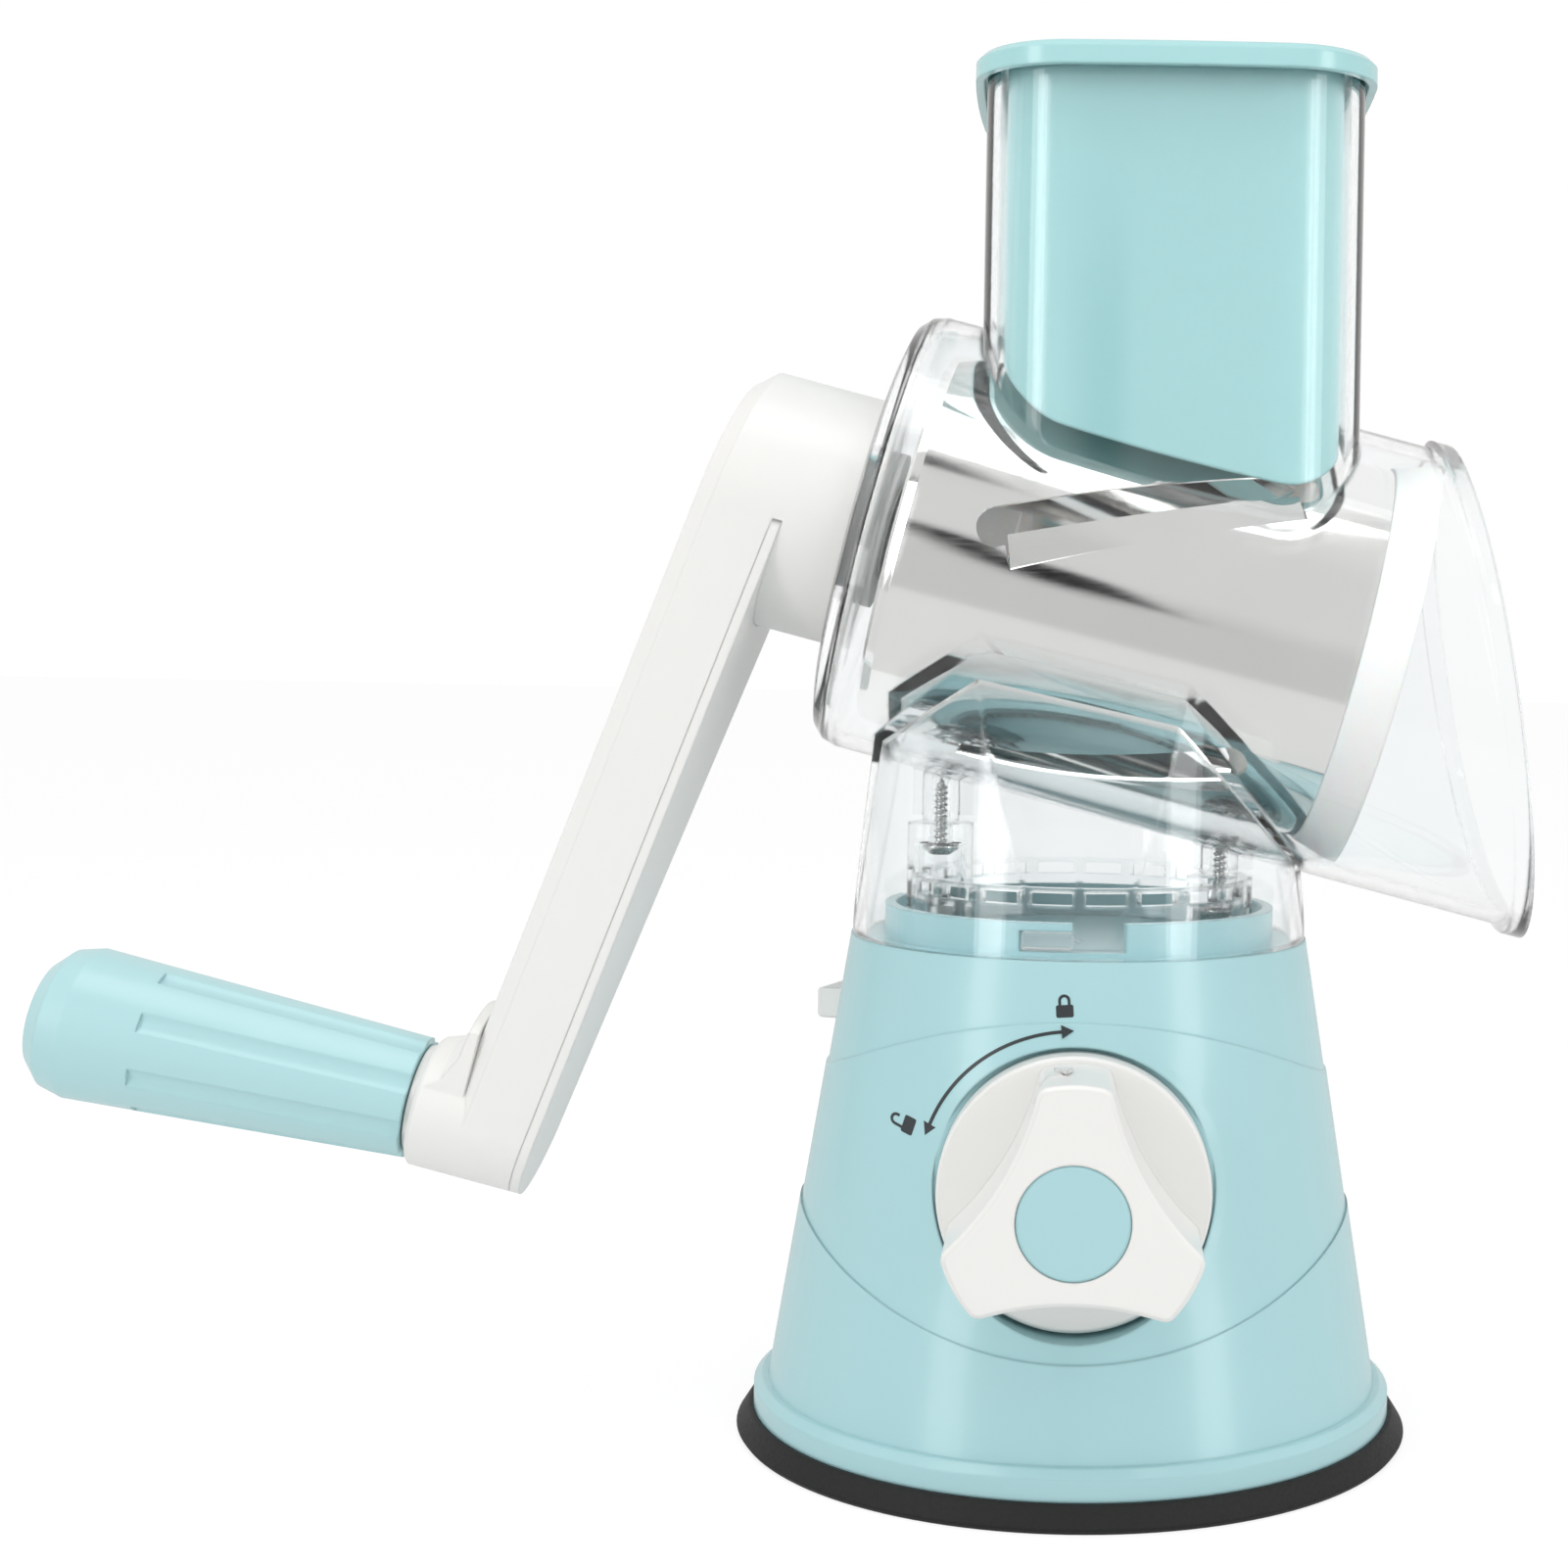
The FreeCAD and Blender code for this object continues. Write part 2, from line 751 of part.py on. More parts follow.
def knob_screw():
    seat = knob_screw_seat - knob_front
    head = cylinder_y(knob_screw_head, seat - knob_screw_head_height, seat, 0, knob_height)
    shank = cylinder_y(knob_screw_radius, seat, seat + knob_screw_length, 0, knob_height)
    return head.fuse(shank)


def cam_shaft():
    front = knob_socket_depth + end_gap - knob_front
    shaft = cylinder_y(shaft_radius, front, bracket_ear_place + shaft_stand_out, 0, knob_height)
    pilot_end = knob_screw_seat + knob_screw_length + 1 - knob_front
    return shaft.cut(cylinder_y(knob_screw_pilot, -knob_front, pilot_end, 0, knob_height))


def cam():
    # Spiral face: its radius falls at a steady rate over the knob's turn and a little
    # past it, with a short level stretch before the locked end
    points = []
    for index in range(cam_points + 1):
        turn = index / cam_points * (knob_turn + cam_run_on)
        points.append(polar(cam_high - cam_rate * turn, math.radians(90 - turn)))
    spiral = Part.BSplineCurve()
    spiral.interpolate(points)
    rest_start = polar(cam_high, math.radians(90 + cam_lead))
    rest_middle = polar(cam_high, math.radians(90 + cam_lead / 2))
    far = polar(cam_low, math.radians(90 + cam_lead + cam_back))
    low_middle = polar(cam_low, math.radians(-knob_turn))
    edges = [
        Part.Arc(rest_start, rest_middle, points[0]).toShape(),
        spiral.toShape(),
        Part.Arc(points[-1], low_middle, far).toShape(),
        Part.LineSegment(far, rest_start).toShape(),
    ]
    plate = Part.Face(Part.Wire(edges)).extrude(Vec(0, cam_width, 0))
    plate.translate(Vec(0, -cam_width / 2, knob_height))
    return plate.cut(cylinder_y(shaft_radius + press_fit, -past_all, past_all, 0, knob_height))


def pull_stem():
    foot = membrane_lift + membrane_wall
    collar_low = membrane_lift + pad_boss_height + end_gap
    bridge_top = fork_bridge_bottom + fork_bridge_height
    cheek_inner = cam_width / 2 + slide_gap
    cheek_outer = cheek_inner + cheek_wall
    cheek_top = pin_height + cross_pin_radius + cheek_above_pin
    stem = cylinder_z(stem_radius, foot, fork_bridge_bottom + 1)
    stem = stem.fuse(cylinder_z(stem_foot_radius, foot, foot + stem_foot_height))
    stem = stem.fuse(cylinder_z(stem_collar_radius, collar_low, collar_low + stem_collar_height))
    bridge = block(
        (-fork_half_width, fork_half_width),
        (-cheek_outer, cheek_outer),
        (fork_bridge_bottom, bridge_top),
    )
    stem = stem.fuse(bridge)
    for side in (-1, 1):
        low_y = cheek_inner if side > 0 else -cheek_outer
        cheek = block(
            (-fork_half_width, fork_half_width),
            (low_y, low_y + cheek_wall),
            (fork_bridge_bottom, cheek_top),
        )
        stem = stem.fuse(cheek)
    slot_half = shaft_radius + slide_gap
    slot_top = knob_height + stem_travel
    slot = block((-slot_half, slot_half), (-past_all, past_all), (knob_height, slot_top))
    slot = slot.fuse(cylinder_y(slot_half, -past_all, past_all, 0, knob_height))
    slot = slot.fuse(cylinder_y(slot_half, -past_all, past_all, 0, slot_top))
    pin_hole = cylinder_y(cross_pin_radius + press_fit, -past_all, past_all, 0, pin_height)
    return stem.cut(slot).cut(pin_hole).removeSplitter()


def cross_pin():
    half = cam_width / 2 + slide_gap + cheek_wall
    return cylinder_y(cross_pin_radius, -half, half, 0, pin_height)


def stem_spring():
    low = membrane_lift + pad_boss_height + stem_collar_height + 2 * end_gap
    high = floor_cup_top - floor_cup_ceiling - end_gap
    tube = cylinder_z(stem_collar_radius - end_gap, low, high)
    return tube.cut(cylinder_z(stem_radius + stem_spring_play, low - 1, high + 1))


# Release button


def release_button():
    arm_low = button_height - button_arm_thickness / 2
    half_flange = button_flange_height / 2
    head = block(
        (button_flange_inner, button_reach),
        (-button_width / 2, button_width / 2),
        (button_height - button_thickness / 2, button_height + button_thickness / 2),
    )
    outer_edges = [edge for edge in head.Edges if edge.BoundBox.XMin > button_reach - 0.1]
    head = head.makeFillet(button_edge_radius, outer_edges)
    flange = block(
        (button_flange_inner, button_flange_inner + button_flange),
        (-button_width / 2 - button_flange_edge, button_width / 2 + button_flange_edge),
        (button_height - half_flange, button_height + half_flange),
    )
    flange_room = cone_radius(button_height + half_flange) - shell_wall - soft_gap
    flange = flange.common(cylinder_z(flange_room, 0, base_top))
    arm = block(
        (tongue_inner, button_flange_inner),
        (-button_arm_width / 2, button_arm_width / 2),
        (arm_low, arm_low + button_arm_thickness),
    )
    tongue_y = (tongue_offset - tongue_width / 2, tongue_offset + tongue_width / 2)
    tooth_low = base_top + lug_lift
    tooth_top = tooth_low + tooth_height
    tongue = block((tongue_inner, tongue_outer), tongue_y, (arm_low, tooth_top))
    tooth = block((tongue_inner, tongue_outer + tooth_reach), tongue_y, (tooth_low, tooth_top))
    button = head.fuse([flange, arm, tongue, tooth]).removeSplitter()
    return turned_about_z(button, button_azimuth)


def button_spring():
    low = button_spring_seat + seat_gap
    high = low + button_spring_length
    tube = cylinder_x(button_spring_radius, low, high, 0, button_height)
    bore = cylinder_x(button_spring_radius - button_spring_wall, low - 1, high + 1, 0, button_height)
    return turned_about_z(tube.cut(bore), button_azimuth)


# Clear housing and neck ring


def beyond_mouth(offset):
    # All space past the slanted mouth plane, moved along its normal by the offset
    space = block((offset, past_all), (-past_all, past_all), (-past_all, past_all))
    space.rotate(Vec(0, 0, 0), Vec(0, 1, 0), -mouth_slant)
    space.translate(Vec(mouth_reach, 0, 0))
    return space


def chute_outline(inset):
    # Bowed sides and round corners in plan, as eight arcs; every inset is a true offset
    side_half = chute_half_y - chute_bulge
    front_half = chute_half_x - chute_bulge
    side_radius = (side_half ** 2 + chute_bulge ** 2) / (2 * chute_bulge)
    front_radius = (front_half ** 2 + chute_bulge ** 2) / (2 * chute_bulge)
    side_centre = Vec(chute_half_x - side_radius, 0, 0)
    front_centre = Vec(0, chute_half_y - front_radius, 0)
    corner_centre = circles_meet(
        side_centre, side_radius - chute_corner,
        front_centre, front_radius - chute_corner,
    )
    on_side = point_beyond(side_centre, corner_centre, side_radius - inset)
    on_front = point_beyond(front_centre, corner_centre, front_radius - inset)
    between = on_side.add(on_front) * 0.5
    on_corner = point_beyond(corner_centre, between, chute_corner - inset)
    crowns = [
        Vec(0, chute_half_y - inset, 0),
        Vec(inset - chute_half_x, 0, 0),
        Vec(0, inset - chute_half_y, 0),
        Vec(chute_half_x - inset, 0, 0),
    ]
    signs = [(1, 1), (-1, 1), (-1, -1), (1, -1)]
    corners = []
    for index, (sign_x, sign_y) in enumerate(signs):
        first, last = (on_side, on_front) if index % 2 == 0 else (on_front, on_side)
        quarter = [Vec(sign_x * p.x, sign_y * p.y, 0) for p in (first, on_corner, last)]
        corners.append(quarter)
    edges = []
    for index in range(4):
        following = corners[(index + 1) % 4][0]
        edges.append(Part.Arc(*corners[index]).toShape())
        edges.append(Part.Arc(corners[index][2], crowns[index], following).toShape())
    return Part.Wire(edges)


def circles_meet(first, first_radius, second, second_radius):
    # The crossing of two circles that lies furthest out in the first quadrant
    line = second.sub(first)
    span = line.Length
    along = (first_radius ** 2 - second_radius ** 2 + span ** 2) / (2 * span)
    aside = math.sqrt(first_radius ** 2 - along ** 2)
    unit = line * (1 / span)
    foot = first.add(unit * along)
    return foot.add(Vec(-unit.y, unit.x, 0) * aside)


def point_beyond(start, through, distance):
    direction = through.sub(start)
    return start.add(direction * (distance / direction.Length))


def chute_block(inset, low, high):
    # Four-sided tower with bowed sides and rounded corners
    tower = Part.Face(chute_outline(inset)).extrude(Vec(0, 0, high - low))
    tower.translate(Vec(chute_centre, 0, low))
    return tower


def neck_block(inset, low, high):
    # Round at the bottom, with four flats that widen on the way up to a rounded square
    round_radius = cone_top_radius - soft_gap - inset
    tube = cylinder_z(round_radius, low, high)
    rise = neck_square_height - base_top
    for half, axis in ((neck_half_x, Vec(0, 1, 0)), (neck_half_y, Vec(-1, 0, 0))):
        draft = math.degrees(math.atan((cone_top_radius - soft_gap - half) / rise))
        for turn in (0, 180):
            space = block((0, past_all), (-past_all, past_all), (-past_all, past_all))
            space.rotate(Vec(0, 0, 0), Vec(0, 1, 0), -draft)
            space.translate(Vec(round_radius, 0, base_top))
            if axis.x:
                space.rotate(Vec(0, 0, 0), Vec(0, 0, 1), 90)
            space.rotate(Vec(0, 0, 0), Vec(0, 0, 1), turn)
            tube = tube.cut(space)
    return tube


def screw_posts():
    # For each neck screw: place, tower top, web and the height where its head seats
    left = (-tower_place, left_tower_top, left_tower_web, left_tower_top - left_tower_web)
    right = (tower_place, right_tower_top, right_tower_web, right_tower_top - right_tower_web)
    return [left, right]


def barrel_solid(inset, rear, front):
    # Drum chamber between two stations, its radius less by the inset, rear end rounded
    radius = barrel_radius - inset
    rounding = rear_edge_radius - inset
    corner = rounded_corner(rear, radius, rounding, barrel_corner_steps)
    return turned_x([(rear, 0)] + corner + [(front, radius), (front, 0)])


def drum_housing():
    front = mouth_reach + 2 * barrel_radius
    barrel = on_drum_axis(barrel_solid(0, barrel_rear, front).cut(beyond_mouth(0)))
    tower = chute_block(0, axis_height, chute_top)
    neck = neck_block(0, base_top, neck_square_height)
    body = barrel.fuse([tower, neck])
    chamber = on_drum_axis(barrel_solid(clear_wall, barrel_rear + rear_wall, front))
    feed = chute_block(clear_wall, axis_height, chute_top + 1)
    barrel_core = on_drum_axis(cylinder_x(barrel_radius, barrel_rear, front))
    neck_hollow = neck_block(clear_wall, base_top - 1, neck_square_height).cut(barrel_core)
    rim = cylinder_x(barrel_radius + rim_lip, 0, front)
    rim = rim.cut(beyond_mouth(0)).common(beyond_mouth(-rim_width))
    housing = body.fuse(on_drum_axis(rim)).cut(neck_hollow)
    for place, top, web, head in screw_posts():
        tip = head + neck_screw_length
        reach = tip + screw_boss_cover
        boss = cylinder_z(screw_boss_radius, top + soft_gap, reach, place)
        along = (place - gusset_left, place + gusset_right)
        across = (-gusset_half, gusset_half)
        gusset = block(along, across, (top + gusset_lift, reach))
        outward = block(along, across, (top + gusset_lift, axis_height))
        keep = on_drum_axis(cylinder_x(barrel_radius - clear_wall, barrel_rear, front))
        housing = housing.fuse(boss).fuse(gusset.fuse(outward).cut(keep))
    housing = housing.cut(chamber_without_bosses(chamber)).cut(feed)
    bush_hole = cylinder_x(bush_outer + running, barrel_rear - 1, barrel_rear + rear_wall + 1)
    housing = housing.cut(on_drum_axis(bush_hole))
    for place, top, web, head in screw_posts():
        pilot_end = head + neck_screw_length + end_gap
        housing = housing.cut(cylinder_z(neck_screw_radius + running, top - 1, pilot_end, place))
    return housing


def chamber_without_bosses(chamber):
    # The right-hand screw's boss stands a little way into the drum chamber
    pads = []
    for place, top, web, head in screw_posts():
        reach = head + neck_screw_length + screw_boss_cover
        pads.append(cylinder_z(screw_boss_radius, head, reach, place))
    return chamber.cut(pads)


def neck_ring():
    ring = cylinder_z(ring_outer, base_top, ring_top).cut(cylinder_z(ring_inner, 0, past_all))
    lug_half = lug_width / 2
    lug_out = (ring_outer - 1, collar_outer - slide_gap)
    low = base_top + lug_lift
    for index in range(lug_count):
        lug = block(lug_out, (-lug_half, lug_half), (low, low + lug_height))
        ring = ring.fuse(turned_about_z(lug, lug_first + 360 / lug_count * index))
    for place, top, web, head in screw_posts():
        ring = ring.fuse(cylinder_z(tower_radius, base_top, top, place))
    rib = block(
        (-ring_rib_half, ring_rib_half),
        (-ring_outer - ring_rib_depth, 1 - ring_outer),
        (base_top + ring_rib_low, ring_top + ring_rib_high),
    )
    ring = ring.fuse(rib)
    window_step = 360 / ring_window_count
    window_top = ring_top - ring_window_edge
    window = block(
        (ring_inner - 1, ring_outer + 1),
        (-ring_window_half, ring_window_half),
        (window_top - ring_window_height, window_top),
    )
    keep_off = math.cos(math.radians(tower_keep_off))
    for index in range(ring_window_count):
        angle = window_step * (index + 0.5)
        towards_tower = abs(math.cos(math.radians(angle))) > keep_off
        if not towards_tower:
            ring = ring.cut(turned_about_z(window, angle))
    for place, top, web, head in screw_posts():
        ring = ring.cut(cylinder_z(tower_bore, 0, top - web, place))
        ring = ring.cut(cylinder_z(neck_screw_radius + slide_gap, 0, top + 1, place))
    notch = block(
        (ring_inner - 1, ring_outer + 1),
        (tongue_offset - tongue_width / 2 - slide_gap, tongue_offset + tongue_width / 2 + slide_gap),
        (low - slide_gap, low + tooth_height + slide_gap),
    )
    return ring.cut(turned_about_z(notch, button_azimuth))


def neck_screws():
    screws = []
    for place, top, web, head in screw_posts():
        low = head - neck_screw_head_height
        dome = Part.makeCone(
            neck_screw_face, neck_screw_head, neck_screw_dome,
            Vec(place, 0, low), Vec(0, 0, 1),
        )
        dome = dome.fuse(cylinder_z(neck_screw_head, low + neck_screw_dome, head, place))
        shank_end = head + neck_screw_length - neck_screw_point
        shank = cylinder_z(neck_screw_radius, head, shank_end, place)
        point = Part.makeCone(
            neck_screw_radius, neck_screw_tip, neck_screw_point,
            Vec(place, 0, shank_end), Vec(0, 0, 1),
        )
        long = cross_half_length
        wide = cross_half_width
        cross = block((place - long, place + long), (-wide, wide), (0, head - cross_floor))
        other = block((place - wide, place + wide), (-long, long), (0, head - cross_floor))
        screws.append(dome.fuse([shank, point]).cut(cross).cut(other))
    return Part.makeCompound(screws)


def rear_bush():
    inner = barrel_rear + rear_wall
    bush = turned_x([
        (barrel_rear + end_gap, journal_radius + running),
        (barrel_rear + end_gap, bush_outer),
        (inner, bush_outer),
        (inner, bush_flange),
        (inner + bush_flange_depth, bush_flange),
        (inner + bush_flange_depth, journal_radius + running),
    ])
    return on_drum_axis(bush)


# Drum


def at_slot(shape):
    # From the top of the drum, lying along its axis, to the first slot's place and skew
    copy = shape.copy()
    copy.rotate(Vec(0, 0, 0), Vec(0, 0, 1), slot_skew)
    copy.translate(Vec((slot_start + slot_end) / 2, 0, 0))
    copy.rotate(Vec(0, 0, 0), Vec(1, 0, 0), 90 - (slot_start_angle + slot_end_angle) / 2)
    return copy


def slot_punch():
    # A long hole with round ends, punched straight in, and the room beside it that the
    # bent-up blade leaves
    half = slot_width / 2
    punch = block((-slot_half_length, slot_half_length), (-half, half), punch_reach)
    for end in (-slot_half_length, slot_half_length):
        punch = punch.fuse(cylinder_z(half, *punch_reach, end))
    land_half = blade_half_length + blade_end_slit
    land = block((-land_half, land_half), (-half - blade_land, 0), punch_reach)
    return at_slot(punch.fuse(land))


def blade():
    # The strip beside a slot, bent outward about its root so that its edge stands proud
    half = slot_width / 2
    root = -half - blade_land
    sides = (root - blade_lap, blade_overhang - half)
    strip = block((-blade_half_length, blade_half_length), sides, punch_reach)
    tube = cylinder_x(drum_radius, slot_start - 2 * slot_width, slot_end + 2 * slot_width)
    tube = tube.cut(cylinder_x(drum_radius - drum_wall, -past_all, past_all))
    bent = tube.common(at_slot(strip))
    offset = root * math.cos(math.radians(slot_skew))
    height = math.sqrt(drum_radius ** 2 - offset ** 2)
    hinge = at_slot(Part.makeLine(Vec(-1, root, height), Vec(1, root, height)))
    start, end = [vertex.Point for vertex in hinge.Vertexes]
    bent.rotate(start, end.sub(start), blade_bend)
    return bent


def drum_skin():
    # Thin tube whose rear end turns in through a rounded corner
    front = drum_rear + drum_length
    corner = rounded_corner(drum_rear, drum_radius, rear_corner, 2)
    outside = turned_x([(drum_rear, 0)] + corner + [(front, drum_radius), (front, 0)])
    wall_rear = drum_rear + drum_wall
    wall_radius = drum_radius - drum_wall
    corner = rounded_corner(wall_rear, wall_radius, rear_corner - drum_wall, 2)
    inside = turned_x([(wall_rear, 0)] + corner + [(front + 1, wall_radius), (front + 1, 0)])
    opening = cylinder_x(drum_radius - rolled_lip, drum_rear - 1, drum_rear + 2)
    return outside.cut(inside).cut(opening)


def drum_shell():
    shell = drum_skin()
    for index in range(slot_count):
        angle = 360 / slot_count * index
        hole = slot_punch()
        hole.rotate(Vec(0, 0, 0), Vec(1, 0, 0), angle)
        edge = blade()
        edge.rotate(Vec(0, 0, 0), Vec(1, 0, 0), angle)
        shell = shell.cut(hole).fuse(edge)
    return on_drum_axis(shell)


def drum_hub():
    # Cup-shaped end piece: rim inside the steel, closed web, ribs and a square socket
    rear = drum_rear + drum_wall
    outer = drum_radius - drum_wall - running
    rim_end = rear + hub_rim_length
    rim = turned_x([
        (rear, 0),
        (rear, outer - rear_corner),
        (rear + rear_corner, outer),
        (rim_end, outer),
        (rim_end, 0),
    ])
    rim = rim.cut(cylinder_x(outer - hub_wall, rear + hub_disc, rim_end + 1))
    boss = cylinder_x(hub_boss_radius, hub_boss_rear, hub_boss_front)
    hub = rim.fuse(boss)
    for index in range(hub_ribs):
        rib = block((rear + 1, rim_end), (-hub_rib_half, hub_rib_half), (hub_boss_radius - 1, outer - 1))
        rib.rotate(Vec(0, 0, 0), Vec(1, 0, 0), 360 / hub_ribs * index)
        hub = hub.fuse(rib)
    half = drive_square / 2 + drive_clearance
    socket = block((hub_boss_rear - 1, hub_boss_front + 1), (-half, half), (-half, half))
    return on_drum_axis(hub.cut(socket))


def drum_outlet_ring():
    # White collar on the open end: a sleeve inside the steel, then a flared lip
    front = drum_rear + drum_length
    sleeve = drum_radius - drum_wall - running
    bore = sleeve - outlet_wall
    ring = turned_x([
        (front - outlet_sleeve, bore),
        (front - outlet_sleeve, sleeve),
        (front + running, sleeve),
        (front + running, drum_radius + outlet_step),
        (outlet_ring_end - outlet_lip_bevel, outlet_ring_radius),
        (outlet_ring_end, outlet_ring_radius),
        (outlet_ring_end, outlet_ring_radius - outlet_lip),
        (front + outlet_flare_start, bore),
    ])
    return on_drum_axis(ring)


# Crank


def crank_outline(inset):
    # Two circles joined by tangents, drawn across the drum axis at station zero
    top = hub_radius - inset
    low = foot_radius - inset
    lean = math.asin((top - low) / foot_drop)
    side_y = math.cos(lean)
    side_z = -math.sin(lean)
    left_top = Vec(0, -top * side_y, top * side_z)
    right_top = Vec(0, top * side_y, top * side_z)
    left_low = Vec(0, -low * side_y, low * side_z - foot_drop)
    right_low = Vec(0, low * side_y, low * side_z - foot_drop)
    edges = [
        Part.Arc(left_top, Vec(0, 0, top), right_top).toShape(),
        Part.LineSegment(right_top, right_low).toShape(),
        Part.Arc(right_low, Vec(0, 0, -foot_drop - low), left_low).toShape(),
        Part.LineSegment(left_low, left_top).toShape(),
    ]
    return Part.Face(Part.Wire(edges))


def arm_slab(near, far):
    # Leaning slab, between two depths measured out from the arm's inner face
    slab = block((-far, -near), (-past_all, past_all), (-past_all, past_all))
    slab.rotate(Vec(0, 0, 0), Vec(0, 1, 0), arm_lean)
    slab.translate(Vec(arm_plane, 0, 0))
    return slab


def crank_prism(inset):
    prism = crank_outline(inset).extrude(Vec(past_all, 0, 0))
    prism.translate(Vec(-past_all, 0, 0))
    return prism


def crank_arm():
    plate = crank_prism(0).common(arm_slab(cover_thickness, arm_thickness))
    outer_edges = [edge for edge in plate.Edges if on_outer_face(edge)]
    plate = plate.makeChamfer(arm_edge_bevel, outer_edges)
    pocket = crank_prism(arm_wall).common(arm_slab(0, arm_thickness - arm_face_wall))
    hub_core = cylinder_x(hub_radius - arm_wall, -past_all, 0)
    foot_core = cylinder_x(foot_radius - arm_wall, -past_all, 0, 0, -foot_drop)
    plate = plate.cut(pocket.cut([hub_core, foot_core]))
    hub = cylinder_x(hub_radius, hub_root, barrel_rear - crank_gap)
    rim = [edge for edge in hub.Edges if edge.BoundBox.XMin > barrel_rear - crank_gap - 0.1]
    hub = hub.makeChamfer(crank_rim_bevel, rim)
    foot = cylinder_x(foot_radius, foot_end, foot_plane - foot_overlap, 0, -foot_drop)
    end_rim = [edge for edge in foot.Edges if edge.BoundBox.XMax < foot_end + 0.1]
    foot = foot.makeChamfer(crank_rim_bevel, end_rim)
    arm = plate.fuse([hub, foot, foot_root_flare()])
    journal = cylinder_x(journal_radius + tight_fit, barrel_rear - shaft_socket_depth, 0)
    spindle_hole = cylinder_x(spindle_radius + tight_fit, foot_end - 1, foot_plane - spindle_seat)
    return on_drum_axis(arm.cut(journal)).cut(on_grip_axis(spindle_hole))


def on_outer_face(edge):
    # True for edges on the arm's outer leaning face
    lean = math.radians(arm_lean)
    for point in edge.discretize(5):
        depth = -(point.x - arm_plane) * math.cos(lean) + point.z * math.sin(lean)
        if abs(depth - arm_thickness) > 0.01:
            return False
    return True


def foot_root_flare():
    # Concave sweep from the foot boss out into the arm's outer face, as short cones
    face = foot_plane - arm_thickness / math.cos(math.radians(arm_lean))
    start = foot_end + flare_start
    profile = [(start, 0)]
    for index in range(flare_steps + 1):
        turn = math.radians(90 * index / flare_steps)
        station = start + (face - start) * math.sin(turn)
        profile.append((station, foot_radius + foot_flare * (1 - math.cos(turn))))
    profile.append((face + flare_root, foot_radius + foot_flare))
    profile.append((face + flare_root, 0))
    flare = turned_x(profile)
    flare.translate(Vec(0, 0, -foot_drop))
    return flare.common(crank_prism(flare_inset))


def crank_cover():
    cover = crank_prism(0).common(arm_slab(0, cover_thickness - running))
    cover = cover.cut(cylinder_x(hub_radius + running, -past_all, 0))
    return on_drum_axis(cover)


def drive_shaft():
    start = barrel_rear - shaft_socket_depth + seat_gap
    square_start = barrel_rear + rear_wall + bush_flange_depth + slide_gap
    half = drive_square / 2
    shaft = cylinder_x(journal_radius, start, square_start)
    end = hub_boss_front - shaft_screw_recess
    square = block((square_start - 1, end), (-half, half), (-half, half))
    shaft = shaft.fuse(square)
    return on_drum_axis(shaft.cut(cylinder_x(shaft_pilot_radius, hub_boss_front - shaft_pilot_depth, 0)))


def shaft_screw():
    seat = hub_boss_front - shaft_screw_recess
    head = cylinder_x(shaft_screw_head, seat, seat + shaft_screw_head_height)
    shank = cylinder_x(shaft_screw_radius, seat - shaft_screw_length, seat)
    return on_drum_axis(head.fuse(shank))


def grip_spindle():
    inner_end = foot_plane - spindle_seat - end_gap
    rod = cylinder_x(spindle_radius, spindle_end, inner_end)
    head = cylinder_x(spindle_head_radius, spindle_end - spindle_head_depth, spindle_end)
    return on_grip_axis(rod.fuse(head))


def grip_collar():
    collar = cylinder_x(grip_collar_radius, foot_end - grip_collar_length, foot_end + 1)
    collar = collar.cut(cylinder_x(spindle_radius + tight_fit, -past_all, 0))
    foot = on_drum_axis(cylinder_x(2 * foot_radius, foot_end, 0, 0, -foot_drop))
    return on_grip_axis(collar).cut(foot)


def handle_grip():
    # Tapered, domed grip with long flutes that run out at its inner end
    outer_end = grip_inner_end - grip_length
    dome = rounded_corner(outer_end, grip_outer_radius, grip_dome, 3)
    inner_end = [(grip_inner_end, grip_inner_radius), (grip_inner_end, 0)]
    grip = turned_x([(outer_end, 0)] + dome + inner_end)
    # A flute takes the seam line of the turned surface, so that no face is split by it
    grip.rotate(Vec(0, 0, 0), Vec(1, 0, 0), 180 / grip_flutes)
    taper = (grip_outer_radius - grip_inner_radius) / (grip_length - grip_dome)
    for index in range(grip_flutes):
        start_radius = grip_inner_radius - grip_flute_depth + grip_flute_radius
        axis = Vec(-1, 0, taper)
        flute = Part.makeCylinder(
            grip_flute_radius, grip_flute_length + 1,
            Vec(grip_inner_end + 1, 0, start_radius - taper), axis,
        )
        flute.rotate(Vec(0, 0, 0), Vec(1, 0, 0), 360 / grip_flutes * (index + 0.5))
        grip = grip.cut(flute)
    bore = cylinder_x(spindle_radius + running, spindle_end, grip_inner_end + 1)
    head_end = spindle_end - spindle_head_depth - soft_gap
    pocket = cylinder_x(spindle_head_radius + running, head_end, spindle_end + end_gap)
    return on_grip_axis(grip.cut(bore).cut(pocket))


# Pusher


def pusher_cup():
    # Open-topped cup that drops into the chute; its floor follows the drum
    inset = clear_wall + pusher_gap
    low = axis_height + pusher_low
    body = chute_block(inset, low, chute_top)
    inside = chute_block(inset + pusher_wall, low, rim_top + 1)
    below = on_drum_axis(cylinder_x(pusher_follow_radius, -past_all, past_all))
    floor_top = on_drum_axis(cylinder_x(pusher_follow_radius + pusher_wall, -past_all, past_all))
    return body.cut(below).cut(inside.cut(floor_top))


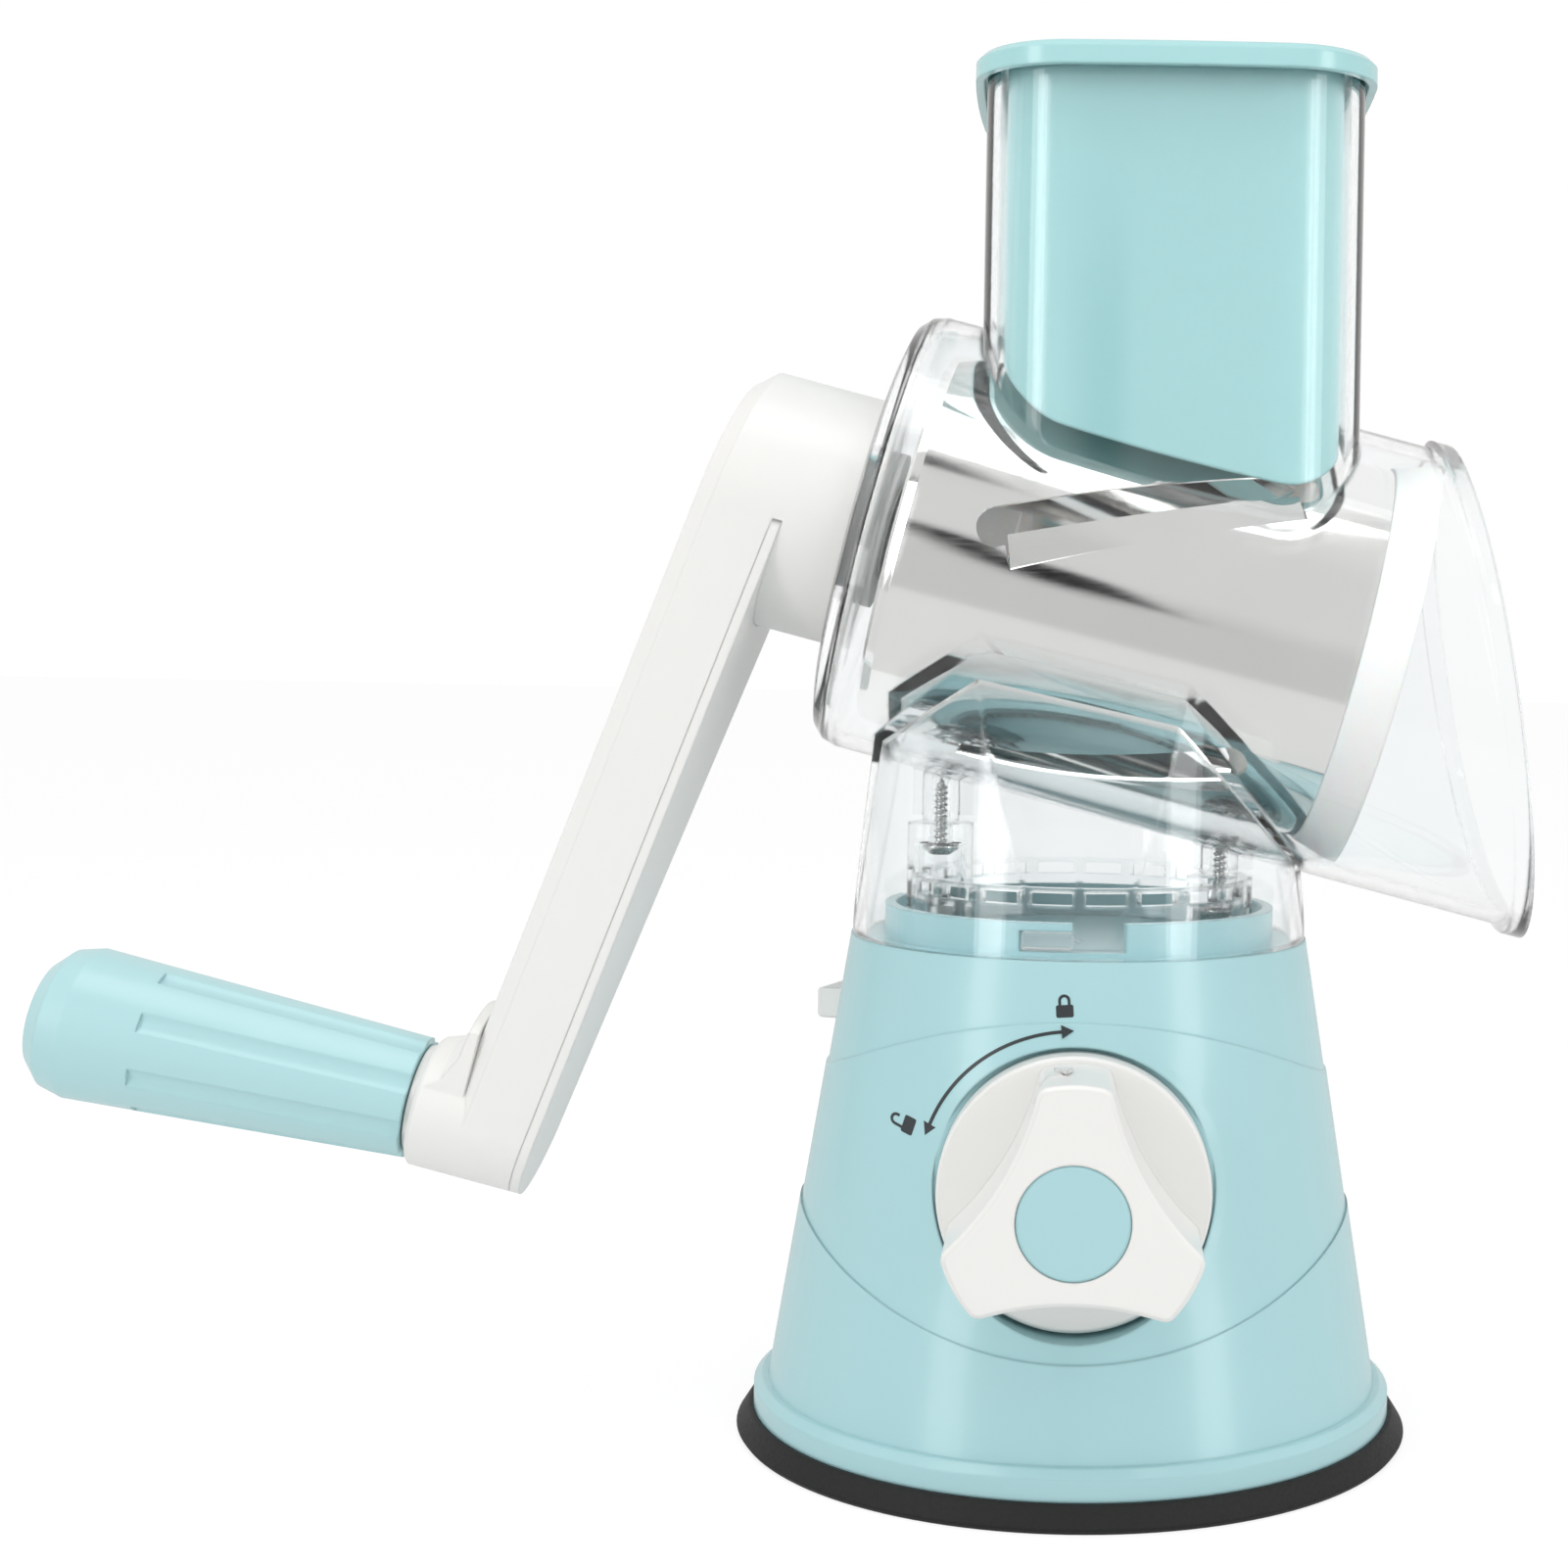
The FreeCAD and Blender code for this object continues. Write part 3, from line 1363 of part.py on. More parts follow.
def pusher_rim():
    # Cap-like rim that rests on the chute, with a skirt outside the chute's wall
    outer_inset = -rim_skirt_gap - rim_skirt_wall
    cap = chute_block(outer_inset, rim_bottom, rim_top)
    top_edges = [edge for edge in cap.Edges if edge.BoundBox.ZMin > rim_top - 0.01]
    cap = cap.makeChamfer(rim_bevel, top_edges)
    under = chute_block(-rim_skirt_gap, rim_bottom - 1, chute_top)
    opening = chute_block(clear_wall + pusher_gap + pusher_wall, rim_bottom - 1, rim_top + 1)
    return cap.cut(under).cut(opening)


def pusher():
    return pusher_cup().fuse(pusher_rim()).removeSplitter()


nodes = {
    "suction_pad": suction_pad,
    "base_shell": base_shell,
    "base_floor": base_floor,
    "floor_screws": floor_screws,
    "cam_bracket": cam_bracket,
    "bracket_screws": bracket_screws,
    "knob_body": knob_body,
    "knob_cap": knob_cap,
    "knob_screw": knob_screw,
    "cam_shaft": cam_shaft,
    "cam": cam,
    "pull_stem": pull_stem,
    "cross_pin": cross_pin,
    "stem_spring": stem_spring,
    "release_button": release_button,
    "button_spring": button_spring,
    "drum_housing": drum_housing,
    "neck_ring": neck_ring,
    "neck_screws": neck_screws,
    "rear_bush": rear_bush,
    "drum_shell": drum_shell,
    "drum_hub": drum_hub,
    "drum_outlet_ring": drum_outlet_ring,
    "crank_arm": crank_arm,
    "crank_cover": crank_cover,
    "drive_shaft": drive_shaft,
    "shaft_screw": shaft_screw,
    "grip_spindle": grip_spindle,
    "grip_collar": grip_collar,
    "handle_grip": handle_grip,
    "pusher": pusher,
}

os.makedirs("parts", exist_ok=True)
for name, make in nodes.items():
    shape = make()
    box = shape.BoundBox
    print(f"{name}: {len(shape.Solids)} solid, valid {shape.isValid()}, volume {shape.Volume:.0f} mm3,"
          f" X {box.XMin:.1f}..{box.XMax:.1f} Y {box.YMin:.1f}..{box.YMax:.1f}"
          f" Z {box.ZMin:.1f}..{box.ZMax:.1f}")
    shape.exportStep(f"parts/{name}.step")
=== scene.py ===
import json
import math

import bmesh
import bpy
from mathutils import Euler, Matrix, Vector
from mathutils.bvhtree import BVHTree


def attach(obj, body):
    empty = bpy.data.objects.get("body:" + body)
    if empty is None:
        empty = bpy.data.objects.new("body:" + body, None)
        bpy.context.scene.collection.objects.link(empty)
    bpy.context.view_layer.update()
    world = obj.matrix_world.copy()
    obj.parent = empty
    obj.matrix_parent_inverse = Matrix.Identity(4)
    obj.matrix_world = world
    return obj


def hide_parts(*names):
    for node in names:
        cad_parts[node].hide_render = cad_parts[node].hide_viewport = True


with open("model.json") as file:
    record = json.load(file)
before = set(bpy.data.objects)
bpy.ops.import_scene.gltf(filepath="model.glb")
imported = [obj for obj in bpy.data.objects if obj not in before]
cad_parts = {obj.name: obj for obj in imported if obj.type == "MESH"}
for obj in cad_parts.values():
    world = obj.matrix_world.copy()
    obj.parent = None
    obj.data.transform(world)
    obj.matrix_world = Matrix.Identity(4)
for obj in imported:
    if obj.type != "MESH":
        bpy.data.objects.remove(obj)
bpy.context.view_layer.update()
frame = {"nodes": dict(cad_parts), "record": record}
mm = 0.001
print("frame loaded:", len(frame["nodes"]), "nodes")


# Small helpers

def srgb(red, green, blue):
    # 0-255 screen colour to the linear value a shader takes
    def linear(channel):
        share = channel / 255
        return share / 12.92 if share <= 0.04045 else ((share + 0.055) / 1.055) ** 2.4
    return (linear(red), linear(green), linear(blue), 1.0)


def shade(colour, factor):
    return (colour[0] * factor, colour[1] * factor, colour[2] * factor, 1.0)


def grey(value):
    return (value, value, value, 1.0)


def meshObject(name, mesh, material):
    data = bpy.data.meshes.new(name)
    mesh.to_mesh(data)
    mesh.free()
    data.materials.append(material)
    made = bpy.data.objects.new(name, data)
    bpy.context.scene.collection.objects.link(made)
    return made


def meshPiece(name, mesh, body, material):
    # A bmesh as a piece of the object, riding on a body
    piece = meshObject(name, mesh, material)
    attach(piece, body)
    return piece


def smoothFaces(mesh, angle):
    # Smooth shading, with edges sharper than the angle left sharp
    for face in mesh.faces:
        face.smooth = True
    for edge in mesh.edges:
        if len(edge.link_faces) == 2 and edge.calc_face_angle(0) > math.radians(angle):
            edge.smooth = False


# Materials

noiseBand = (0.3, 0.7)   # where most of a noise's values lie
cloudDetail = 2.0
bevelSamples = 4


class Nodes:
    # A node tree with short ways to add, link and calculate
    def __init__(self, tree):
        self.nodes = tree.nodes
        self.links = tree.links

    def add(self, kind, **values):
        # A value goes to the node's own setting of that name, or else to its input
        node = self.nodes.new(kind)
        for key, value in values.items():
            if hasattr(node, key):
                setattr(node, key, value)
            else:
                node.inputs[key.replace("_", " ")].default_value = value
        return node

    def link(self, source, target):
        self.links.new(source, target)

    def maths(self, operation, *values):
        node = self.add("ShaderNodeMath", operation=operation)
        for value, target in zip(values, node.inputs):
            if isinstance(value, (int, float)):
                target.default_value = value
            else:
                self.link(value, target)
        return node.outputs["Value"]

    def softStep(self, value, middle, edge):
        # From 0 to 1 over the edge's width on both sides of the middle
        node = self.add("ShaderNodeMapRange", interpolation_type="SMOOTHSTEP")
        node.inputs["From Min"].default_value = middle - edge
        node.inputs["From Max"].default_value = middle + edge
        self.link(value, node.inputs["Value"])
        return node.outputs["Result"]

    def mixShaders(self, factor, first, second):
        node = self.add("ShaderNodeMixShader")
        for source, target in zip((factor, first, second), node.inputs):
            self.link(source, target)
        return node.outputs["Shader"]


class Shader(Nodes):
    # A new material with its Principled and output nodes at hand
    def __init__(self, name):
        self.material = bpy.data.materials.new(name)
        self.material.use_nodes = True
        super().__init__(self.material.node_tree)
        self.principled = self.nodes["Principled BSDF"]
        self.output = self.nodes["Material Output"]

    def set(self, **values):
        for key, value in values.items():
            self.principled.inputs[key.replace("_", " ")].default_value = value

    def drive(self, source, socket):
        self.link(source, self.principled.inputs[socket])

    def surface(self, source):
        self.link(source, self.output.inputs["Surface"])

    def objectCoordinates(self, stretch=(1, 1, 1), turn=(0, 0, 0)):
        place = self.add("ShaderNodeTexCoord")
        mapping = self.add("ShaderNodeMapping", Scale=stretch, Rotation=turn)
        self.link(place.outputs["Object"], mapping.inputs["Vector"])
        return mapping.outputs["Vector"]

    def noise(self, where, scale, detail=3.0, rough=0.5):
        node = self.add("ShaderNodeTexNoise", Scale=scale, Detail=detail, Roughness=rough)
        self.link(where, node.inputs["Vector"])
        return node.outputs["Fac"]

    def spread(self, factor, low, high):
        # Maps a noise's middle range onto low-high
        node = self.add(
            "ShaderNodeMapRange", From_Min=noiseBand[0], From_Max=noiseBand[1],
            To_Min=low, To_Max=high,
        )
        self.link(factor, node.inputs["Value"])
        return node.outputs["Result"]

    def tint(self, factor, dark, light):
        ramp = self.add("ShaderNodeValToRGB")
        for stop, position, colour in zip(ramp.color_ramp.elements, noiseBand, (dark, light)):
            stop.position = position
            stop.color = colour
        self.link(factor, ramp.inputs["Fac"])
        return ramp.outputs["Color"]

    def bump(self, height, strength, distance, softEdge=0.0):
        # Fine relief; a soft edge also rounds the light on every sharp corner
        node = self.add("ShaderNodeBump", Strength=strength, Distance=distance)
        self.link(height, node.inputs["Height"])
        if softEdge:
            rounding = self.add("ShaderNodeBevel", samples=bevelSamples, Radius=softEdge)
            self.link(rounding.outputs["Normal"], node.inputs["Normal"])
        self.drive(node.outputs["Normal"], "Normal")


def mouldedPlastic(name, look):
    # Injection-moulded plastic: slight flow clouding, fine surface ripple
    shader = Shader(name)
    where = shader.objectCoordinates()
    cloud = shader.noise(where, look["cloudScale"], cloudDetail)
    grain = shader.noise(where, look["grainScale"])
    dark = shade(look["colour"], 1 - look["clouding"])
    light = shade(look["colour"], 1 + look["clouding"])
    shader.drive(shader.tint(cloud, dark, light), "Base Color")
    smooth = look["roughness"] - look["roughnessSpread"]
    rough = look["roughness"] + look["roughnessSpread"]
    shader.drive(shader.spread(grain, smooth, rough), "Roughness")
    shader.bump(grain, look["grainStrength"], look["grainDepth"], look["softEdge"])
    shader.set(IOR=look["ior"], Coat_Weight=look["coat"], Coat_Roughness=look["coatRoughness"])
    shader.set(Subsurface_Weight=look["depth"], Subsurface_Scale=look["depthScale"])
    return shader.material


def tintAndPolish(shader, look, cloud, polish):
    # Colour between the look's two, roughness between its glossiest and dullest share
    shader.drive(shader.tint(cloud, look["colourLow"], look["colourHigh"]), "Base Color")
    smooth = look["roughness"] * look["glossiest"]
    rough = look["roughness"] * look["dullest"]
    shader.drive(shader.spread(polish, smooth, rough), "Roughness")


def clearPlastic(name, look):
    # Clear moulding: refracts, and lets shadow rays through so what is inside stays lit
    shader = Shader(name)
    where = shader.objectCoordinates()
    ripple = shader.noise(where, look["rippleScale"], cloudDetail)
    cloud = shader.noise(where, look["cloudScale"], cloudDetail)
    tintAndPolish(shader, look, cloud, cloud)
    shader.bump(ripple, look["rippleStrength"], look["rippleDepth"], look["softEdge"])
    shader.set(IOR=look["ior"], Transmission_Weight=1.0)
    shader.set(Coat_Weight=look["coat"], Coat_Roughness=look["coatRoughness"])
    path = shader.add("ShaderNodeLightPath")
    through = shader.add("ShaderNodeBsdfTransparent", Color=look["shadowColour"])
    shader.surface(shader.mixShaders(
        path.outputs["Is Shadow Ray"], shader.principled.outputs["BSDF"], through.outputs["BSDF"],
    ))
    return shader.material


def polishedSteel(name, look):
    # Rolled and polished sheet: mirror with faint lines along the rolling direction
    shader = Shader(name)
    lines = shader.objectCoordinates(look["lineStretch"], look["lineTurn"])
    fine = shader.noise(lines, look["lineScale"], look["lineDetail"], look["lineRough"])
    broad = shader.noise(shader.objectCoordinates(), look["cloudScale"], cloudDetail)
    tintAndPolish(shader, look, broad, fine)
    shader.bump(fine, look["lineStrength"], look["lineDepth"])
    shader.set(Metallic=1.0)
    return shader.material


plasticLook = {
    "ior": 1.5, "coat": 0.0, "coatRoughness": 0.08, "depth": 0.0, "depthScale": 4.0 * mm,
}
tealLook = dict(
    plasticLook, colour=srgb(170, 211, 216), clouding=0.012, cloudScale=14, grainScale=900,
    grainStrength=0.02, grainDepth=0.04 * mm, roughness=0.26, roughnessSpread=0.006,
    coat=0.15, softEdge=0.7 * mm,
)
pusherLook = dict(tealLook, colour=srgb(166, 213, 215), roughness=0.2, coat=0.3)
gripLook = dict(tealLook, colour=srgb(174, 214, 218), roughness=0.3, grainStrength=0.1)
whiteLook = dict(tealLook, colour=srgb(234, 234, 232), roughness=0.32, clouding=0.006, coat=0.0)
outletLook = dict(
    tealLook, colour=srgb(248, 249, 248), roughness=0.38, clouding=0.01, coat=0.0, depth=0.35,
)
innerLook = dict(
    tealLook, colour=srgb(225, 226, 222), roughness=0.5, grainStrength=0.15, coat=0.0,
)
bushLook = dict(innerLook, colour=srgb(232, 233, 232), roughness=0.4)
rubberLook = dict(
    plasticLook, colour=srgb(31, 32, 32), clouding=0.06, cloudScale=30, grainScale=1400,
    grainStrength=0.25, grainDepth=0.08 * mm, roughness=0.6, roughnessSpread=0.06,
    ior=1.36, softEdge=1.0 * mm,
)
printLook = dict(
    plasticLook, colour=srgb(46, 52, 56), clouding=0.08, cloudScale=300, grainScale=3000,
    grainStrength=0.1, grainDepth=0.02 * mm, roughness=0.4, roughnessSpread=0.05, softEdge=0.0,
)
clearLook = {
    "colourLow": (0.955, 0.972, 0.975, 1), "colourHigh": (0.985, 0.992, 0.993, 1),
    "cloudScale": 12, "rippleScale": 26, "rippleStrength": 0.05, "rippleDepth": 0.4 * mm,
    "roughness": 0.012, "glossiest": 0.6, "dullest": 1.4, "ior": 1.2,
    "coat": 0.7, "coatRoughness": 0.03, "shadowColour": (0.93, 0.945, 0.95, 1),
    "softEdge": 1.2 * mm,
}
drumTilt = math.radians(-14.1)
drumLook = {
    "colourLow": (0.92, 0.915, 0.9, 1), "colourHigh": (0.95, 0.945, 0.935, 1),
    "cloudScale": 40, "lineStretch": (0.06, 1, 1), "lineTurn": (0, drumTilt, 0),
    "lineScale": 2200, "lineDetail": 4.0, "lineRough": 0.6, "lineStrength": 0.035,
    "lineDepth": 0.03 * mm, "roughness": 0.07, "glossiest": 0.7, "dullest": 1.4,
}
screwLook = dict(
    drumLook, colourLow=(0.6, 0.6, 0.6, 1), colourHigh=(0.7, 0.7, 0.69, 1), cloudScale=300,
    lineStretch=(1, 1, 1), roughness=0.24, lineStrength=0.12,
)
springLook = dict(screwLook, roughness=0.2)

finishes = {
    "pad_rubber": mouldedPlastic("padRubber", rubberLook),
    "base_teal": mouldedPlastic("baseTeal", tealLook),
    "pusher_teal": mouldedPlastic("pusherTeal", pusherLook),
    "grip_teal": mouldedPlastic("gripTeal", gripLook),
    "white_plastic": mouldedPlastic("whitePlastic", whiteLook),
    "outlet_plastic": mouldedPlastic("outletPlastic", outletLook),
    "inner_plastic": mouldedPlastic("innerPlastic", innerLook),
    "bush_plastic": mouldedPlastic("bushPlastic", bushLook),
    "clear_plastic": clearPlastic("clearPlastic", clearLook),
    "drum_steel": polishedSteel("drumSteel", drumLook),
    "screw_steel": polishedSteel("screwSteel", screwLook),
    "spring_steel": polishedSteel("springSteel", springLook),
}
darkPrint = mouldedPlastic("darkPrint", printLook)

for entry in frame["record"]["subparts"]:
    node = frame["nodes"][entry["node"]]
    for materialSlot in node.material_slots:
        materialSlot.material = finishes[entry["material_slot"]]
print("materials on the CAD nodes done")


# Marks laid on a CAD surface: the print round the knob and the arrow on its upper lobe

farOff = 0.2   # a drawing is dropped from this far away, in metres
knobHeight = 55.0 * mm

printMarks = {
    "arcRadius": 28.1 * mm,
    "arcStart": 95.5,             # degrees from +X towards +Z, arrowheads beyond
    "arcEnd": 158.5,
    "arcSteps": 40,
    "lineWidth": 0.6 * mm,
    "headLength": 2.2 * mm,
    "headWidth": 2.4 * mm,
    "lift": 0.07 * mm,            # the ink stands this much above the moulding
    "signRadius": 32.6 * mm,
    "signSize": 4.2 * mm,
    "closedSign": 94.0,
    "openSign": 162.5,
}

padlock = {                       # in shares of the sign's size
    "halfBody": (0.37, 0.26),     # half its width and height
    "bodyMiddle": -0.24,
    "corner": 0.08,
    "cornerSteps": 4,
    "bowRadius": 0.2,
    "bowSteps": 12,
    "closedRise": 0.2,
    "openRise": 0.36,
    "freeEnd": 0.1,               # the open bow's free end hangs this much below its arch
    "bowWidth": 0.12,
}

knobArrow = {
    "tail": [(-6.6, -67.0), (-5.6, -64.2), (-4.2, -62.4), (-2.6, -61.6)],   # mm, seen from above
    "lineWidth": 1.3 * mm,
    "headLength": 2.4 * mm,
    "headWidth": 5.4 * mm,
    "lift": 0.3 * mm,
}


def arcPoints(centre, radius, start, end, steps):
    points = []
    for index in range(steps + 1):
        angle = math.radians(start + (end - start) * index / steps)
        points.append(centre + Vector((math.cos(angle), math.sin(angle))) * radius)
    return points


def ribbon(mesh, path, width):
    # Flat strip of even width along a path
    sides = []
    last = len(path) - 1
    for index, point in enumerate(path):
        along = (path[min(index + 1, last)] - path[max(index - 1, 0)]).normalized()
        across = Vector((-along.y, along.x)) * width / 2
        edges = (point + across, point - across)
        sides.append([mesh.verts.new((place.x, place.y, 0)) for place in edges])
    for near, far in zip(sides, sides[1:]):
        mesh.faces.new((near[0], near[1], far[1], far[0]))


def arrowHead(mesh, base, along, length, width):
    across = Vector((-along.y, along.x)) * width / 2
    corners = (base + across, base - across, base + along * length)
    mesh.faces.new([mesh.verts.new((corner.x, corner.y, 0)) for corner in corners])


def padlockSign(mesh, middle, turn, size, opened):
    # Body with round corners under a bow, which stands lifted and free when open
    spin = Matrix.Rotation(math.radians(turn), 2)

    def placed(points):
        return [middle + spin @ point for point in points]

    look = padlock
    half = Vector(look["halfBody"]) * size
    low = look["bodyMiddle"] * size
    corner = look["corner"] * size
    outline = []
    for start, side in ((0, (1, 1)), (90, (-1, 1)), (180, (-1, -1)), (270, (1, -1))):
        centre = Vector((side[0] * (half.x - corner), low + side[1] * (half.y - corner)))
        outline += arcPoints(centre, corner, start, start + 90, look["cornerSteps"])
    mesh.faces.new([mesh.verts.new((point.x, point.y, 0)) for point in placed(outline)])
    rise = (look["openRise"] if opened else look["closedRise"]) * size
    reach = look["bowRadius"] * size
    bow = [Vector((reach, rise - look["freeEnd"] * size if opened else 0))]
    bow += arcPoints(Vector((0, rise)), reach, 0, 180, look["bowSteps"])
    bow.append(Vector((-reach, 0)))
    ribbon(mesh, placed(bow), look["bowWidth"] * size)


def layOn(mesh, nodeName, start, aim, lift):
    # Drops a flat drawing onto a CAD node's surface and gives it a thickness. start turns
    # a drawing point into a place in space, aim is the way it drops from there
    data = frame["nodes"][nodeName].data
    corners = [vertex.co for vertex in data.vertices]
    surface = BVHTree.FromPolygons(corners, [polygon.vertices[:] for polygon in data.polygons])
    for vertex in mesh.verts:
        met = surface.ray_cast(start(vertex.co), aim)[0]
        vertex.co = met - aim * lift
    bmesh.ops.recalc_face_normals(mesh, faces=mesh.faces[:])
    bmesh.ops.solidify(mesh, geom=mesh.faces[:], thickness=2 * lift)
    bmesh.ops.recalc_face_normals(mesh, faces=mesh.faces[:])


def fromFront(point):
    return Vector((point.x, -farOff, point.y))


def fromAbove(point):
    return Vector((point.x, point.y, farOff))


def makePrint():
    look = printMarks
    centre = Vector((0, knobHeight))
    mesh = bmesh.new()
    arc = arcPoints(centre, look["arcRadius"], look["arcStart"], look["arcEnd"], look["arcSteps"])
    ribbon(mesh, arc, look["lineWidth"])
    for end, before in ((0, 1), (-1, -2)):
        along = (arc[end] - arc[before]).normalized()
        arrowHead(mesh, arc[end], along, look["headLength"], look["headWidth"])
    for angle, opened in ((look["closedSign"], False), (look["openSign"], True)):
        middle = arcPoints(centre, look["signRadius"], angle, angle, 1)[0]
        padlockSign(mesh, middle, angle - 90, look["signSize"], opened)
    layOn(mesh, "base_shell", fromFront, Vector((0, 1, 0)), look["lift"])
    meshPiece("knobPrint", mesh, "root", darkPrint)


def makeKnobArrow():
    look = knobArrow
    path = [Vector(point) * mm for point in look["tail"]]
    mesh = bmesh.new()
    ribbon(mesh, path, look["lineWidth"])
    along = (path[-1] - path[-2]).normalized()
    arrowHead(mesh, path[-1], along, look["headLength"], look["headWidth"])
    layOn(mesh, "knob_body", fromAbove, Vector((0, 0, -1)), look["lift"])
    meshPiece("knobArrow", mesh, "knob", finishes["white_plastic"])


# Neck screws with their threads, which show through the clear neck

neckScrew = {
    "places": [(-27.5 * mm, 112.4 * mm), (27.5 * mm, 100.8 * mm)],   # x and seat height
    "length": 13.0 * mm,
    "crest": 1.48 * mm,
    "root": 1.0 * mm,
    "pitch": 1.15 * mm,
    "threadShare": 0.5,           # of the pitch, the rest is bare root
    "tip": 2.2 * mm,
    "headRadius": 3.55 * mm,
    "headHeight": 2.25 * mm,
    "crownRadius": 0.55,          # of the head's radius, at its top
    "brimHeight": 0.5,            # of the head's height, where its dome begins
    "pole": 0.001 * mm,           # radius of the nearly closed ends
    "sides": 28,
    "rowsPerTurn": 8,
    "sharpFrom": 50,              # degrees
}


def screwRows(look):
    # Rows of a turned screw from its head to its tip: height, radius, depth of thread
    top = -look["headHeight"]
    rows = [
        (top, look["pole"], 0), (top, look["headRadius"] * look["crownRadius"], 0),
        (top * look["brimHeight"], look["headRadius"], 0), (0, look["headRadius"], 0),
        (0, look["root"], 0),
    ]
    steps = round(look["length"] / look["pitch"] * look["rowsPerTurn"])
    for index in range(1, steps):
        height = look["length"] * index / steps
        share = min(1.0, (look["length"] - height) / look["tip"])
        rows.append((height, look["root"] * share, (look["crest"] - look["root"]) * share))
    rows.append((look["length"], look["pole"], 0))
    return rows


def screwRing(mesh, look, x, seat, height, radius, thread):
    # One row of the screw's points, the thread's crest where the helix passes
    ring = []
    for index in range(look["sides"]):
        turn = index / look["sides"]
        phase = (height / look["pitch"] - turn) % 1.0
        flank = max(0.0, 1 - abs(phase - 0.5) * 2 / look["threadShare"])
        reach = radius + thread * flank
        angle = 2 * math.pi * turn
        point = (x + reach * math.cos(angle), reach * math.sin(angle), seat + height)
        ring.append(mesh.verts.new(point))
    return ring


def makeNeckScrews():
    look = neckScrew
    mesh = bmesh.new()
    for x, seat in look["places"]:
        rings = [screwRing(mesh, look, x, seat, *row) for row in screwRows(look)]
        for lower, upper in zip(rings, rings[1:]):
            for index in range(look["sides"]):
                after = (index + 1) % look["sides"]
                mesh.faces.new((lower[index], lower[after], upper[after], upper[index]))
        mesh.faces.new(list(reversed(rings[0])))
        mesh.faces.new(rings[-1])
    smoothFaces(mesh, look["sharpFrom"])
    screws = meshPiece("neckScrews", mesh, "root", finishes["screw_steel"])
    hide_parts("neck_screws")


makePrint()
makeKnobArrow()
makeNeckScrews()
print("scene pieces done")


# Stage: floor, world, lamps and camera

stageLook = {
    "cameraPlace": (0.0, -485.2 * mm, 153.3 * mm),
    "cameraRoll": 1.01,             # degrees
    "sensorWidth": 36.0,
    "clip": (0.01, 30),
    "photoSize": 1601.0,
    "focalPixels": 2518.0,
    "axisPoint": (1106.6, 650.1),   # where the optical axis meets the picture
    "floorSize": 6.0,
    "floorDrop": 0.05 * mm,         # below the pad
    "floorShade": 0.86,
    "floorClouding": 0.01,
    "floorCloudScale": 3.0,
    "floorWhite": 1.04,             # what the camera sees of the bare floor
    "floorShadow": 0.22,            # how much of it a full shadow takes away
    "worldStrength": 0.78,
    "roomTone": (1, 0.992, 0.98),
    # degrees above the level line behind the camera, brightness
    "room": [
        (-180, 0.95), (-90, 1.0), (-31, 1.0), (-28, 0.78), (-6, 0.78), (4, 0.9), (44, 0.9),
        (54, 0.95), (110, 1.0), (180, 1.0),
    ],
    "flagShade": 0.02,
    "flagLeftTaper": 0.02,
    # low and high in degrees, left and right in shares of the room, with their soft edges
    "flags": [
        {"low": -7, "high": 9, "edge": 3, "left": -0.066, "right": -0.02, "taper": 0.015},
        {"low": -6, "high": 2, "edge": 2, "left": -0.066, "right": 0.01, "taper": 0.012},
        {"low": 43, "high": 50, "edge": 2, "left": -1.0, "right": 0.12, "taper": 0.02},
    ],
}


def makeFloor():
    # Pale paper that lights the object. The camera sees it white, with the object's
    # shadow, and reflections see the room below it
    look = stageLook
    shader = Shader("floorPaper")
    mesh = bmesh.new()
    bmesh.ops.create_grid(mesh, x_segments=1, y_segments=1, size=look["floorSize"])
    floor = meshObject("floor", mesh, shader.material)
    floor.location.z = -look["floorDrop"]
    tone = shader.tint(
        shader.noise(shader.objectCoordinates(), look["floorCloudScale"]),
        grey(look["floorShade"] - look["floorClouding"]),
        grey(look["floorShade"] + look["floorClouding"]),
    )
    paper = shader.add("ShaderNodeBsdfDiffuse")
    shader.link(tone, paper.inputs["Color"])
    glow = shader.add("ShaderNodeEmission", Strength=look["floorWhite"] - look["floorShadow"])
    shadowed = shader.add("ShaderNodeBsdfDiffuse", Color=grey(look["floorShadow"]))
    white = shader.add("ShaderNodeAddShader")
    shader.link(glow.outputs["Emission"], white.inputs[0])
    shader.link(shadowed.outputs["BSDF"], white.inputs[1])
    clear = shader.add("ShaderNodeBsdfTransparent")
    path = shader.add("ShaderNodeLightPath")
    seen = shader.maths(
        "MAXIMUM", path.outputs["Is Camera Ray"], path.outputs["Is Transmission Ray"],
    )
    shown = shader.mixShaders(seen, paper.outputs["BSDF"], white.outputs["Shader"])
    mirrored = path.outputs["Is Glossy Ray"]
    shader.surface(shader.mixShaders(mirrored, shown, clear.outputs["BSDF"]))


def studioFlags(tree, lift, side):
    # 1 where a ray meets one of the dark flags
    dark = None
    for flag in stageLook["flags"]:
        above = tree.softStep(lift, flag["low"], flag["edge"])
        below = tree.maths("SUBTRACT", 1.0, tree.softStep(lift, flag["high"], flag["edge"]))
        left = tree.softStep(side, flag["left"], stageLook["flagLeftTaper"])
        right = tree.maths("SUBTRACT", 1.0, tree.softStep(side, flag["right"], flag["taper"]))
        level = tree.maths("MULTIPLY", above, below)
        shape = tree.maths("MULTIPLY", level, tree.maths("MULTIPLY", left, right))
        dark = shape if dark is None else tree.maths("MAXIMUM", dark, shape)
    return dark


